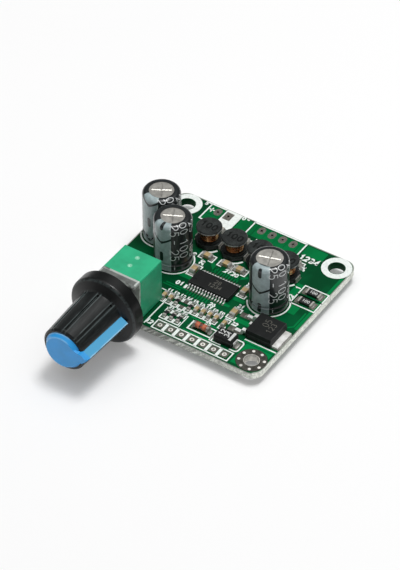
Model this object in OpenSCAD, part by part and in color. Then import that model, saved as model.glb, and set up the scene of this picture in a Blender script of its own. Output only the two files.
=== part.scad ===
// Stereo audio amplifier board: a small printed circuit board with a rotary volume
// control and knob at its front edge, three electrolytic capacitors, four drum
// inductors, a 28-lead amplifier chip and the small parts around it.
// Origin: centre of the four corner holes, on the underside of the board.
// +Z points to the component side, -Y to the knob. All sizes are in millimetres.

/* [Board] */
// Width of the board, left to right
board_w = 43; // [42.6:0.1:48]
// Depth of the board, front to back
board_d = 38.7; // [38.4:0.1:44]
// Thickness of the board
board_t = 1.6; // [0.8:0.1:2.4]
// Radius of the board's corners
corner_r = 2.5; // [0.5:0.1:3]
// Diameter of the four mounting holes
mount_hole_d = 3.4; // [2.6:0.1:3.6]
// Distance from a mounting hole's centre to the two nearest edges
mount_inset = 3.25; // [3:0.05:3.6]
// Diameter of the circle of small earth holes round the front right mounting hole
earth_ring_d = 5.1; // [4.8:0.1:5.4]
// Diameter of one small earth hole
earth_hole_d = 0.55; // [0.3:0.05:0.7]
// Number of small earth holes
earth_holes = 8; // [4:1:10]
// Diameter of the holes for soldered wires and header pins
wire_hole_d = 1; // [0.7:0.05:1.2]
// Distance between neighbouring wire holes
wire_pitch = 2.54; // [2.3:0.02:2.6]
// Number of holes in the front header row
header_holes = 7; // [3:1:7]
// Left end of the header row, from the middle of the board
header_x = -2.35; // [-3:0.05:-2]
// Distance of the header row from the front edge
header_inset = 1.73; // [1.2:0.01:2]
// Number of speaker wire holes
speaker_holes = 4; // [2:1:4]
// Left end of the speaker row, from the middle of the board
speaker_x = -0.64; // [-2:0.02:1]
// Left one of the two supply holes, from the middle of the board
supply_x = -11.4; // [-12:0.05:-10]
// Distance of the speaker and supply holes from the back edge
rear_inset = 1.95; // [1.4:0.05:2.4]

/* [Soldered leads] */
// Length of the wires and pins that stand out under the board
lead_tail = 1.8; // [1.5:0.1:3]
// Height of the solder cone round each lead under the board
solder_h = 1.1; // [0.6:0.1:1.3]
// Diameter of a solder cone at the board
solder_d = 1.9; // [1.6:0.1:2.2]
// Diameter of a solder cone at its tip
solder_tip_d = 1.1; // [1:0.05:1.4]
// Gap on each side of a wire in its hole
hole_gap = 0.15; // [0.1:0.05:0.25]
// Gap on each side between pieces that are fixed together
fixed_gap = 0.02; // [0.01:0.01:0.04]

/* [Volume control] */
// Sideways place of the control's axis, from the middle of the board
pot_x = -10.75; // [-11.5:0.05:-10]
// Width of the control
pot_w = 8.9; // [8.6:0.1:9.5]
// Height of the control above the board
pot_h = 10.3; // [9.9:0.1:11.5]
// Depth of the moulded housing, front to back
housing_d = 7.45; // [7.35:0.05:8.5]
// Wall thickness of the housing
housing_wall = 0.7; // [0.4:0.05:0.8]
// Radius of the housing's long edges
housing_r = 0.35; // [0.1:0.05:0.6]
// Diameter of the two mould marks on the housing's top
mould_mark_d = 0.7; // [0.4:0.05:1]
// Depth of the mould marks
mould_mark_depth = 0.12; // [0.05:0.01:0.2]
// Distance of the housing's front face behind the board's front edge
housing_setback = 0.85; // [0.6:0.05:1.2]
// Thickness of the cast front plate
plate_t = 2.1; // [1.6:0.05:2.6]
// Bevel on the front edges of the cast plate
plate_bevel = 0.5; // [0.2:0.05:0.8]
// Height of the shaft's axis above the board
shaft_h = 5.4; // [5.2:0.05:5.6]
// Diameter of the shaft
shaft_d = 6; // [5.6:0.1:6.2]
// Running clearance between the shaft and its bush, on each side
shaft_fit = 0.04; // [0.02:0.01:0.08]
// Length of the shaft in front of the cast plate
shaft_len = 14.2; // [12:0.1:14.4]
// Length of the flat at the shaft's front end
shaft_flat_len = 8; // [5:0.1:8.4]
// Distance of the flat from the shaft's axis
shaft_flat = 1.5; // [1.2:0.1:2.2]
// Diameter of the cast bush
bush_d = 7; // [6.8:0.1:7.4]
// Length of the bush in front of the cast plate
bush_len = 5; // [3:0.1:5.4]
// Thickness of the collar that keeps the shaft in
collar_t = 0.6; // [0.4:0.05:0.8]
// Thickness of one rotor disc
rotor_t = 1.2; // [0.9:0.05:1.25]
// Diameter of the hub that joins the two rotors
hub_d = 3.6; // [2.4:0.1:4]
// Width of a wiper's ring round the hub
wiper_ring_w = 0.7; // [0.5:0.05:0.8]
// Width of one of a wiper's three arms
wiper_arm_w = 0.3; // [0.2:0.02:0.36]
// Angle between neighbouring arms of a wiper
wiper_arm_turn = 12; // [8:1:20]
// Thickness of the wiper springs
wiper_t = 0.25; // [0.15:0.05:0.3]
// Gap between a moving face and a fixed face inside the control
inner_gap = 0.2; // [0.1:0.05:0.25]
// Thickness of a resistance wafer
wafer_t = 0.6; // [0.4:0.05:0.65]
// Distance between neighbouring pins of one wafer
pin_pitch = 2.5; // [2.2:0.05:2.6]
// Width of a pin
pin_w = 0.8; // [0.5:0.05:0.9]
// Thickness of a pin
pin_t = 0.4; // [0.25:0.05:0.45]

/* [Knob] */
// Diameter of the knob's skirt
skirt_d = 15.5; // [13:0.1:16]
// Thickness of the skirt
skirt_t = 2.95; // [2.4:0.05:3.4]
// Radius of the skirt's front edge
skirt_edge_r = 0.7; // [0.3:0.05:1]
// Slope of the skirt's face, from its edge up to the grip
skirt_slope = 26; // [10:1:32]
// Gap between the cast plate and the skirt
knob_gap = 1.85; // [1:0.05:2]
// Length of the grip in front of the skirt
grip_len = 13.05; // [12.7:0.05:15]
// Diameter of the grip at the skirt
grip_base_d = 10.75; // [10:0.05:11]
// Diameter of the grip at its front end
grip_end_d = 9.7; // [9.4:0.05:10]
// Radius of the grip's front edge
grip_edge_r = 0.35; // [0.1:0.05:0.4]
// Number of flat lands round the grip
grip_lands = 10; // [8:1:12]
// Turn from the pointer to the first groove between two lands
first_groove = 45; // [30:1:50]
// Width of a groove
grip_groove_w = 0.6; // [0.4:0.05:0.8]
// Depth of a groove
grip_groove_depth = 0.45; // [0.3:0.05:0.6]
// Distance from the skirt's face to the grooves
grip_groove_back = 0.3; // [0.1:0.05:0.8]
// Distance from the grooves' ends to the grip's front end
grip_groove_end = 0.8; // [0.5:0.05:1.5]
// Angle of the pointer above the right-hand side, seen from the front
pointer_angle = 8; // [-30:1:90]
// Width of the pointer's ridge at the grip
pointer_w = 2.2; // [1.6:0.1:2.6]
// Depth of the ridge's slot in the grip
pointer_depth = 0.95; // [0.7:0.05:1.1]
// Height of the ridge above the grip
pointer_rise = 1.45; // [0.6:0.05:1.7]
// Distance from the skirt to the ridge
pointer_start = 0.75; // [0.2:0.05:2]
// Diameter of the coloured end disc in the knob
disc_d = 8.3; // [7.8:0.1:8.6]
// Depth of the end disc in the knob
disc_seat = 1.2; // [0.8:0.05:1.3]
// Height of the end disc in front of the grip
disc_rise = 0.9; // [0.5:0.05:1.2]
// Diameter of the end disc's flat face
disc_face_d = 7; // [6:0.1:7.6]
// Gap round the bush and in front of the shaft, inside the knob
knob_inner_gap = 0.5; // [0.3:0.05:0.6]

/* [Electrolytic capacitors] */
// Diameter over the sleeve
cap_d = 8; // [6.3:0.1:8.2]
// Height above the board
cap_h = 12; // [9:0.1:16]
// Thickness of the sleeve
sleeve_t = 0.12; // [0.06:0.02:0.2]
// Radius of the can's top edge
shoulder_r = 0.85; // [0.5:0.05:1.1]
// Diameter of the bare end of the can on the three capacitors
vent_ds = [5, 5.5, 5.2]; // [4:0.1:5.6]
// Width of the vent's score lines
score_w = 0.5; // [0.3:0.05:0.6]
// Depth of the vent's score lines
score_depth = 0.07; // [0.04:0.01:0.12]
// Height of the rolled groove above the board
groove_h = 1.9; // [1.7:0.05:2.4]
// Radius of the rolled groove
groove_r = 0.5; // [0.4:0.05:0.6]
// Depth of the rolled groove
groove_depth = 0.3; // [0.2:0.02:0.35]
// Height of the can's rim above the board
rim_h = 0.3; // [0.1:0.05:0.5]
// Thickness of the rubber bung
bung_t = 1.2; // [0.9:0.05:1.3]
// Thickness of the can's rim round the bung
rim_t = 0.5; // [0.3:0.05:0.8]
// Diameter of a lead
lead_d = 0.6; // [0.45:0.05:0.7]
// Distance between the two leads
lead_pitch = 3.5; // [2.5:0.1:3.8]
// Turn of the vent's score lines on the three capacitors
vent_turns = [27, 18, 31]; // [0:1:90]
// Place of the left front capacitor
cap_a_at = [-11, 0]; // [-11.5:0.05:0.5]
// Place of the right capacitor
cap_b_at = [12.1, -0.05]; // [-0.5:0.05:12.4]
// Gap between the two capacitors on the left
cap_gap = 0.3; // [0.2:0.05:0.9]
// Direction from the left front capacitor to the one behind it
cap_c_turn = 139.8; // [136:0.2:143]

/* [Inductors] */
// Number of inductors in the row
inductors = 4; // [4:1:4]
// Place of the middle of the row
inductor_row_at = [1.42, 8.65]; // [1:0.05:9]
// Width over the terminal clips
inductor_w = 5.9; // [5.4:0.1:6]
// Gap between neighbouring inductors
inductor_gap = 0.3; // [0.15:0.05:0.5]
// Height of an inductor
inductor_h = 4.45; // [4:0.05:5]
// Diameter of the upper flange
top_flange_d = 5.4; // [4.6:0.1:5.6]
// Thickness of the upper flange
top_flange_t = 0.55; // [0.4:0.05:1]
// Thickness of the lower flange
base_flange_t = 0.9; // [0.7:0.05:1.1]
// Diameter of the step on the lower flange
step_d = 4.9; // [4.4:0.1:5]
// Height of the step on the lower flange
step_h = 0.3; // [0.15:0.05:0.35]
// Diameter of the core's waist
waist_d = 2.6; // [2:0.1:3]
// Outer diameter of the winding
winding_d = 3.8; // [3.4:0.1:4.3]
// Number of layers of wire seen from the side
winding_turns = 7; // [4:1:8]
// Thickness of a terminal clip
clip_t = 0.2; // [0.12:0.02:0.25]
// Width of a terminal clip
clip_w = 1.7; // [1.2:0.1:2]
// Length of a terminal clip under the core
clip_l = 1.6; // [1:0.1:2]
// Height of a terminal clip at the side
clip_h = 0.95; // [0.6:0.05:1.1]

/* [Amplifier chip] */
// Place of the chip
chip_at = [0.55, -2.55]; // [-3:0.05:1]
// Number of leads on each side
chip_leads_n = 14; // [10:1:14]
// Distance between neighbouring leads
chip_pitch = 0.65; // [0.6:0.01:0.66]
// Length of the moulded body past the last leads
chip_end = 0.625; // [0.4:0.025:0.7]
// Width of the moulded body
chip_w = 4.4; // [4:0.1:4.6]
// Height of the moulded body
chip_h = 1; // [0.8:0.05:1.2]
// Gap under the moulded body
chip_lift = 0.1; // [0.05:0.01:0.15]
// Slope of a moulded body's sides, top and bottom
mould_draft = 0.12; // [0.05:0.01:0.16]
// Width of a lead
chip_lead_w = 0.24; // [0.18:0.02:0.3]
// Thickness of a lead
chip_lead_t = 0.15; // [0.1:0.01:0.18]
// Reach of a lead from the body
chip_lead_reach = 1; // [0.9:0.05:1.15]
// Diameter of the first lead's dimple
dimple_d = 1; // [0.6:0.1:1.2]
// Depth of the dimple
dimple_depth = 0.06; // [0.03:0.01:0.1]

/* [Tab package] */
// Place of the tab package's body
tab_package_at = [16.7, -8.35]; // [-8.6:0.05:17]
// Length of the body, along the leads
tab_body_l = 6; // [5.6:0.1:6.2]
// Width of the body
tab_body_w = 6.1; // [5.8:0.1:6.6]
// Height of the body
tab_body_h = 2.2; // [1.9:0.05:2.4]
// Thickness of the metal tab
tab_t = 0.5; // [0.35:0.05:0.6]
// Width of the metal tab
tab_w = 5.2; // [4.6:0.1:5.5]
// Length of the tab outside the body
tab_out = 1.3; // [0.8:0.05:1.4]
// Length of the tab under the body
tab_under = 4; // [3:0.1:4.5]
// Distance between the two outer leads
tab_lead_pitch = 4.57; // [4:0.01:4.7]
// Width of a lead
tab_lead_w = 0.75; // [0.5:0.05:0.9]
// Thickness of a lead
tab_lead_t = 0.5; // [0.35:0.05:0.55]
// Reach of an outer lead from the body
tab_lead_reach = 2.7; // [2.2:0.1:2.9]
// Reach of the cut middle lead from the body
tab_stub_reach = 0.8; // [0.4:0.1:1]

/* [Diodes] */
// Place of the moulded rectifier
rectifier_at = [11.15, -14.35]; // [-14.5:0.05:11.4]
// Length of the rectifier's body
rectifier_l = 4.2; // [3.8:0.1:4.4]
// Width of the rectifier's body
rectifier_w = 2.7; // [2.4:0.1:2.8]
// Height of the rectifier's body
rectifier_h = 1.8; // [1.6:0.05:2.2]
// Width of a rectifier terminal
terminal_w = 1.5; // [1.2:0.05:1.8]
// Thickness of a rectifier terminal
terminal_t = 0.2; // [0.12:0.02:0.25]
// Length of a rectifier terminal under the body
terminal_foot = 0.9; // [0.6:0.05:1.2]
// Place of the glass diode
diode_at = [5.3, -14.1]; // [-14.4:0.05:5.6]
// Length of the glass diode
diode_l = 3.5; // [3.2:0.1:3.7]
// Diameter of the glass diode's end caps
diode_d = 1.5; // [1.3:0.05:1.6]
// Length of one end cap
diode_cap_l = 0.45; // [0.3:0.05:0.6]
// Step from the end caps down to the glass
diode_step = 0.06; // [0.02:0.02:0.12]

/* [Chip capacitors and resistors] */
// Large ceramic capacitor: length, width, height
large_ceramic = [2, 1.25, 0.9]; // [0.5:0.05:2.2]
// Small ceramic capacitor: length, width, height
small_ceramic = [1.6, 0.8, 0.75]; // [0.5:0.05:1.8]
// Small resistor: length, width, height
small_resistor = [1.6, 0.8, 0.45]; // [0.4:0.05:1.8]
// Large resistor: length, width, height
large_resistor = [3.2, 1.6, 0.6]; // [0.4:0.05:3.3]
// Share of the length that one metal end covers
end_share = 0.22; // [0.15:0.01:0.3]
// Share of a large resistor's length that one metal end covers
large_end_share = 0.12; // [0.08:0.01:0.25]
// Thickness of the metal on a ceramic body's sides
end_skin = 0.03; // [0.01:0.01:0.05]
// Radius of the metal ends' edges
end_r = 0.1; // [0.04:0.02:0.14]
// Left end of the long row of small parts
long_row_at = [-6.35, -10.05]; // [-10.2:0.05:-6.2]
// Distance between neighbours in the long row
long_row_pitch = 1.55; // [1.4:0.05:1.6]
// Left end of the row of three resistors
short_row_at = [-3.2, -14.15]; // [-14.3:0.05:-3]
// Distance between neighbours in the row of three resistors
short_row_pitch = 1.58; // [1.4:0.02:1.7]

// Distance from the inductors' row to the ceramic capacitors behind it
rear_row_off = 4; // [3.8:0.05:4.5]
// Distance from the inductors' row to the ceramic capacitors before it
front_row_off = 4.15; // [3.9:0.05:4.4]
// Shift of the rear ceramic capacitors to the left of their inductors
rear_row_shift = 0.1; // [0:0.05:0.5]
// Sideways places of the three ceramic capacitors before the inductors
front_row_xs = [-5.6, -1, 2.2]; // [-6:0.05:2.6]
// Place of the upright ceramic capacitor left of the chip
ceramic_left_at = [-5.6, -0.35]; // [-6:0.05:0]
// Place of the upright ceramic capacitor right of the chip
ceramic_right_at = [6.55, -0.35]; // [-0.6:0.05:6.7]
// Place of the upright ceramic capacitor behind the glass diode
ceramic_front_at = [8.2, -6.75]; // [-7:0.05:8.3]
// Place of the upright small ceramic capacitor before it
small_ceramic_at = [8.2, -10.45]; // [-10.6:0.05:8.3]
// Place of the rear one of the two large resistors
large_resistor_at = [18.5, 6.7]; // [6:0.05:19]
// Distance between the two large resistors
large_resistor_pitch = 2.95; // [2.2:0.05:3.2]

/* [Hidden] */
$fn = 48;
// Overrun of a cut past the face that it opens
cut = 0.5;
front_y = -board_d / 2;
back_y = board_d / 2;
mount_x = board_w / 2 - mount_inset;
mount_y = board_d / 2 - mount_inset;

// Control, measured along its axis: zero at the board's front edge, forwards positive
plate_back = -housing_setback;
plate_front = plate_back + plate_t;
housing_back = plate_back - housing_d;
shaft_r = shaft_d / 2;
bush_front = plate_front + bush_len;
shaft_front = plate_front + shaft_len;
collar_front = plate_back - inner_gap;
rotor_a_front = collar_front - collar_t;
rotor_a_back = rotor_a_front - rotor_t;
wafer_a_front = rotor_a_back - wiper_t - inner_gap;
wafer_a_back = wafer_a_front - wafer_t;
rotor_b_front = wafer_a_back - pin_t - inner_gap;
rotor_b_back = rotor_b_front - rotor_t;
wafer_b_front = rotor_b_back - wiper_t - inner_gap;
wafer_b_back = wafer_b_front - wafer_t;
cavity_back = wafer_b_back - pin_t - fixed_gap;
cavity_w = pot_w - 2 * housing_wall;
cavity_low = housing_wall - shaft_h;
cavity_high = pot_h - shaft_h - housing_wall;
rotor_r = min(cavity_w / 2, -cavity_low, cavity_high) - inner_gap;
hub_r = hub_d / 2;
collar_r = (shaft_r + rotor_r) / 2;
pin_top = -rotor_r - inner_gap;
pin_xs = [for (i = [-1:1]) i * pin_pitch];
pin_rows = [wafer_a_back - pin_t / 2, wafer_b_back - pin_t / 2];
pin_ats = [for (w = pin_rows) for (x = pin_xs) [pot_x + x, front_y - w]];
pin_hole_d = norm([pin_w, pin_t]) + 2 * hole_gap;
mould_mark_r = (mould_mark_d * mould_mark_d / 4 + mould_mark_depth * mould_mark_depth)
    / (2 * mould_mark_depth);
mark_rows = [(wafer_a_front + wafer_a_back) / 2, (wafer_b_front + wafer_b_back) / 2];

// Knob, on the same axis
skirt_back = plate_front + knob_gap;
skirt_front = skirt_back + skirt_t;
grip_front = skirt_front + grip_len;
face_front = grip_front + disc_rise;
skirt_edge_at = [skirt_d / 2 - skirt_edge_r, skirt_front - skirt_edge_r];
skirt_face_at = skirt_edge_at + skirt_edge_r * [sin(skirt_slope), cos(skirt_slope)];
grip_back = skirt_face_at[1] + (skirt_face_at[0] - grip_base_d / 2) * tan(skirt_slope);
bush_room = bush_front + knob_inner_gap;
bore_front = shaft_front + knob_inner_gap;
bore_r = shaft_r + fixed_gap;
grip_taper = atan((grip_base_d - grip_end_d) / 2 / (grip_front - grip_edge_r - grip_back));
ridge_r = grip_end_d / 2 + pointer_rise;
// Part of the end disc's face that the pointed front springs from
lobe_share = 0.85;

// Electrolytic capacitors, measured up from the board
can_r = cap_d / 2 - sleeve_t - fixed_gap;
can_top = cap_h - sleeve_t - fixed_gap;
bung_r = can_r - rim_t;
cap_c_at = cap_a_at + (cap_d + cap_gap) * [cos(cap_c_turn), sin(cap_c_turn)];
cap_ats = [cap_a_at, cap_b_at, cap_c_at];
lead_ats = [for (at = cap_ats) for (s = [-1, 1]) at + [0, s * lead_pitch / 2]];
lead_hole_d = lead_d + 2 * hole_gap;

// Inductors, measured up from the board
inductor_pitch = inductor_w + inductor_gap;
inductor_ats = [for (i = [0:inductors - 1])
    inductor_row_at + [(i - (inductors - 1) / 2) * inductor_pitch, 0]];
base_flat = inductor_w / 2 - clip_t;
base_flange_r = base_flat / cos(180 / 8);
winding_low = clip_t + base_flange_t + step_h;
winding_high = inductor_h - top_flange_t;
wire_d = (winding_high - winding_low) / winding_turns;

// Chip, tab package and rectifier
lead_bend_share = 0.3;
lead_foot_share = 0.45;
chip_l = (chip_leads_n - 1) * chip_pitch + 2 * chip_end;
rectifier_lift = terminal_t;

// Places of the chip capacitors and resistors: x, y and turn
rear_row_y = inductor_row_at[1] + rear_row_off;
front_row_y = inductor_row_at[1] - front_row_off;
large_ceramic_ats = concat(
    [for (at = inductor_ats) [at[0] - rear_row_shift, rear_row_y, 0]],
    [for (x = front_row_xs) [x, front_row_y, 0]],
    [for (at = [ceramic_left_at, ceramic_right_at, ceramic_front_at]) [at[0], at[1], 90]]);
long_row_ceramics = [0, 1, 5, 6, 7, 8];
long_row_resistors = [2, 4];
small_ceramic_ats = concat(
    [for (i = long_row_ceramics) [long_row_at[0] + i * long_row_pitch, long_row_at[1], 90]],
    [[small_ceramic_at[0], small_ceramic_at[1], 90]]);
small_resistor_ats = concat(
    [for (i = long_row_resistors) [long_row_at[0] + i * long_row_pitch, long_row_at[1], 90]],
    [for (i = [0:2]) [short_row_at[0] + i * short_row_pitch, short_row_at[1], 90]]);
large_resistor_ats = [for (i = [0, 1]) large_resistor_at - [0, i * large_resistor_pitch]];

// Rectangle with round corners, centred
module rounded_rectangle(w, d, r) {
    square([w - 2 * r, d], center = true);
    square([w, d - 2 * r], center = true);
    for (sx = [-1, 1], sy = [-1, 1])
        translate([sx * (w / 2 - r), sy * (d / 2 - r)])
            circle(r);
}

// Puts a piece on the board's top face; at holds x, y and, if given, a turn
module on_board(at) {
    translate([at[0], at[1], board_t])
        rotate(len(at) > 2 ? at[2] : 0)
            children();
}

// Puts a piece on the control's axis, with local z forwards and local y upwards
module on_axis() {
    translate([pot_x, front_y, board_t + shaft_h])
        rotate([90, 0, 0])
            children();
}

// Plain disc between two places on the control's axis
module disc(r, from, to) {
    translate([0, 0, from])
        cylinder(r = r, h = to - from);
}

// Moulded block with a parting line at half height and sloped sides
module drafted_block(l, w, h) {
    intersection() {
        rotate([90, 0, 0])
            linear_extrude(w, center = true)
                drafted_section(l, h);
        rotate([90, 0, 90])
            linear_extrude(l, center = true)
                drafted_section(w, h);
    }
}

module drafted_section(l, h) {
    top = l / 2 - mould_draft;
    polygon([[-top, 0], [top, 0], [l / 2, h / 2], [top, h], [-top, h], [-l / 2, h / 2]]);
}

// Bent lead of a moulded part: side view from the body outwards, foot on the board
module gull_lead(reach, height, t, w) {
    bend = reach * lead_bend_share;
    foot = reach * lead_foot_share;
    rotate([90, 0, 0])
        linear_extrude(w, center = true)
            polygon([[0, height - t / 2], [bend - t / 2, height - t / 2], [foot - t / 2, 0],
                [reach, 0], [reach, t], [foot + t / 2, t], [bend + t / 2, height + t / 2],
                [0, height + t / 2]]);
}

module circuit_board() {
    color("#0a6a3c")
        difference() {
            linear_extrude(board_t)
                rounded_rectangle(board_w, board_d, corner_r);
            for (sx = [-1, 1], sy = [-1, 1])
                board_hole([sx * mount_x, sy * mount_y], mount_hole_d);
            for (i = [0:earth_holes - 1])
                board_hole([mount_x, -mount_y] + earth_ring_d / 2 * [cos(earth_turn(i)), sin(earth_turn(i))],
                    earth_hole_d);
            for (i = [0:header_holes - 1])
                board_hole([header_x + i * wire_pitch, front_y + header_inset], wire_hole_d);
            for (i = [0:speaker_holes - 1])
                board_hole([speaker_x + i * wire_pitch, back_y - rear_inset], wire_hole_d);
            for (i = [0:1])
                board_hole([supply_x + i * wire_pitch, back_y - rear_inset], wire_hole_d);
            for (at = lead_ats)
                board_hole(at, lead_hole_d);
            for (at = pin_ats)
                board_hole(at, pin_hole_d);
        }
}

function earth_turn(i) = (i + 0.5) * 360 / earth_holes;

module board_hole(at, d) {
    translate([at[0], at[1], -cut])
        cylinder(d = d, h = board_t + 2 * cut);
}

// Moulded housing: an open box behind the cast plate, with slots for the pins
module pot_housing() {
    color("#3ab084")
        on_axis()
            difference() {
                translate([0, pot_h / 2 - shaft_h, housing_back])
                    linear_extrude(housing_d)
                        rounded_rectangle(pot_w, pot_h, housing_r);
                translate([-cavity_w / 2, cavity_low, cavity_back])
                    cube([cavity_w, cavity_high - cavity_low, plate_back - cavity_back + cut]);
                for (w = pin_rows, x = pin_xs)
                    pin_slot(x, w);
                for (w = mark_rows)
                    translate([0, pot_h - shaft_h + mould_mark_r - mould_mark_depth, w])
                        sphere(mould_mark_r);
            }
}

module pin_slot(x, w) {
    size = [pin_w, pin_t] + 2 * fixed_gap * [1, 1];
    translate([x - size[0] / 2, -shaft_h - cut, w - size[1] / 2])
        cube([size[0], housing_wall + 2 * cut, size[1]]);
}

// Cast plate with bevelled front edges, and the bush that guides the shaft
module pot_front_plate() {
    color("#8a8c88")
        on_axis()
            difference() {
                union() {
                    translate([0, pot_h / 2 - shaft_h, 0])
                        bevelled_plate();
                    disc(bush_d / 2, plate_front - cut, bush_front);
                }
                disc(shaft_r + shaft_fit, plate_back - cut, bush_front + cut);
            }
}

module bevelled_plate() {
    intersection() {
        translate([0, 0, plate_back])
            linear_extrude(plate_t)
                rounded_rectangle(pot_w, pot_h, housing_r);
        rotate([90, 0, 0])
            linear_extrude(pot_h, center = true)
                bevelled_section(pot_w);
        rotate([0, 90, 0])
            linear_extrude(pot_w, center = true)
                rotate(90)
                    bevelled_section(pot_h);
    }
}

// Plate seen from its edge, front upwards, with both front edges bevelled
module bevelled_section(w) {
    polygon([[-w / 2, plate_back], [w / 2, plate_back], [w / 2, plate_front - plate_bevel],
        [w / 2 - plate_bevel, plate_front], [plate_bevel - w / 2, plate_front],
        [-w / 2, plate_front - plate_bevel]]);
}

// Shaft with a keeping collar behind the plate and a flat at the front end
module pot_shaft() {
    color("#b9bbb8")
        on_axis()
            difference() {
                union() {
                    disc(shaft_r, rotor_a_front, shaft_front);
                    disc(collar_r, rotor_a_front, collar_front);
                }
                rotate(pointer_angle)
                    translate([shaft_flat, -shaft_d, shaft_front - shaft_flat_len])
                        cube([shaft_d, 2 * shaft_d, shaft_flat_len + cut]);
            }
}

// Two rotor discs, the front one with a hub that reaches the rear one
module pot_rotors() {
    color("#d9d6c8")
        on_axis() {
            union() {
                disc(rotor_r, rotor_a_back, rotor_a_front);
                disc(hub_r, rotor_b_front, rotor_a_front);
            }
            disc(rotor_r, rotor_b_back, rotor_b_front);
        }
}

// Wiper springs: a ring with three contact arms on each rotor's back face
module pot_wipers() {
    color("#c9a35a")
        on_axis()
            for (w = [rotor_a_back, rotor_b_back])
                translate([0, 0, w - wiper_t])
                    difference() {
                        union() {
                            cylinder(r = hub_r + wiper_ring_w, h = wiper_t);
                            for (i = [-1:1])
                                rotate(90 + i * wiper_arm_turn)
                                    translate([0, -wiper_arm_w / 2, 0])
                                        cube([rotor_r - inner_gap, wiper_arm_w, wiper_t]);
                        }
                        translate([0, 0, -cut])
                            cylinder(r = hub_r + fixed_gap, h = wiper_t + 2 * cut);
                    }
}

// Resistance wafers, one for each channel
module pot_wafers() {
    color("#5a3a22")
        on_axis() {
            difference() {
                wafer(wafer_a_back);
                disc(hub_r + inner_gap, wafer_a_back - cut, wafer_a_front + cut);
            }
            wafer(wafer_b_back);
        }
}

module wafer(from) {
    translate([-cavity_w / 2 + fixed_gap, cavity_low + fixed_gap, from])
        cube([cavity_w - 2 * fixed_gap, cavity_high - cavity_low - 2 * fixed_gap, wafer_t]);
}

// Six pins, three on the back of each wafer, down through the housing and the board
module pot_pins() {
    color("#c8c9c6")
        on_axis()
            for (w = pin_rows, x = pin_xs)
                translate([x - pin_w / 2, -shaft_h - board_t - lead_tail, w - pin_t / 2])
                    cube([pin_w, pin_top + shaft_h + board_t + lead_tail, pin_t]);
}

// Knob body: skirt, grooved grip, shaft bore and seats for the pointer
module knob_body() {
    color("#1c2020")
        on_axis()
            rotate(pointer_angle)
                difference() {
                    rotate_extrude()
                        knob_section();
                    for (i = [0:grip_lands - 2])
                        rotate(first_groove + i * 360 / grip_lands)
                            grip_groove();
                    disc(bush_d / 2 + knob_inner_gap, skirt_back - cut, bush_room);
                    difference() {
                        disc(bore_r, bush_room - cut, bore_front);
                        translate([shaft_flat + fixed_gap, -shaft_d, shaft_front - shaft_flat_len])
                            cube([shaft_d, 2 * shaft_d, 2 * shaft_flat_len]);
                    }
                    disc(disc_d / 2 + fixed_gap, grip_front - disc_seat, grip_front + cut);
                    pointer_slot();
                }
}

// Half section of the plain knob: skirt with a round edge and a sloping face, then the grip
module knob_section() {
    translate([0, skirt_back])
        square([skirt_d / 2, skirt_t - skirt_edge_r]);
    translate(skirt_edge_at)
        circle(skirt_edge_r);
    polygon([[0, skirt_back], [skirt_edge_at[0], skirt_back], skirt_edge_at, skirt_face_at,
        [grip_base_d / 2, grip_back], [grip_end_d / 2, grip_front - grip_edge_r],
        [grip_end_d / 2 - grip_edge_r, grip_front], [0, grip_front]]);
}

// One groove along the grip, as deep all along as the grip's taper
module grip_groove() {
    difference() {
        translate([grip_end_d / 4, -grip_groove_w / 2, grip_back + grip_groove_back])
            cube([skirt_d / 2, grip_groove_w, grip_front - grip_groove_end - grip_back - grip_groove_back]);
        translate([0, 0, grip_back - cut])
            cylinder(r1 = grip_base_d / 2 - grip_groove_depth, r2 = grip_end_d / 2 - grip_groove_depth,
                h = grip_front - grip_back + 2 * cut);
    }
}

// Slot for the pointer's ridge, straight-sided and as deep all along as the grip's taper
module pointer_slot() {
    w = pointer_w / 2 + fixed_gap;
    along_grip(-fixed_gap)
        translate([-pointer_depth - fixed_gap, -w])
            square([skirt_d, 2 * w]);
}

// Prism that follows the grip's taper, its section measured out from the grip
module along_grip(back) {
    start = skirt_front + pointer_start - grip_back + back;
    translate([grip_base_d / 2, 0, grip_back])
        rotate([0, -grip_taper, 0])
            translate([0, 0, start])
                linear_extrude(grip_len + disc_rise)
                    children();
}

// Coloured pointer: an end disc with a bevelled rim and a pointed ridge along the grip
module knob_pointer() {
    w = pointer_w / 2;
    color("#5aa0d8")
        on_axis()
            rotate(pointer_angle)
                union() {
                    disc(disc_d / 2, grip_front - disc_seat, grip_front);
                    translate([0, 0, grip_front])
                        cylinder(d1 = disc_d, d2 = disc_face_d, h = disc_rise);
                    intersection() {
                        union() {
                            along_grip(0)
                                polygon([[-pointer_depth, -w], [0, -w], [pointer_rise, 0], [0, w],
                                    [-pointer_depth, w]]);
                            pointer_lobe();
                        }
                        rotate_extrude()
                            pointer_section();
                    }
                }
}

// Pointed front that joins the end disc's face to the ridge
module pointer_lobe() {
    r = disc_face_d / 2 * lobe_share;
    a = acos(r / ridge_r);
    translate([0, 0, grip_front + fixed_gap])
        linear_extrude(disc_rise)
            polygon([[0, 0], r * [cos(a), -sin(a)], [ridge_r, 0], r * [cos(a), sin(a)]]);
}

// Half section that bounds the ridge: a flat back end, and a bevel at the front
module pointer_section() {
    polygon([[0, skirt_front], [skirt_d / 2, skirt_front], [skirt_d / 2, grip_front],
        [ridge_r, grip_front], [ridge_r - disc_rise / 2, face_front], [0, face_front]]);
}

// Half section of a can, grown outwards by grow
module can_section(grow) {
    difference() {
        union() {
            translate([0, rim_h])
                square([can_r + grow, can_top - shoulder_r - rim_h]);
            translate([0, rim_h])
                square([can_r - shoulder_r, can_top + grow - rim_h]);
            translate([can_r - shoulder_r, can_top - shoulder_r])
                circle(shoulder_r + grow);
        }
        translate([can_r + groove_r - groove_depth, groove_h])
            circle(groove_r - grow);
    }
}

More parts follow.
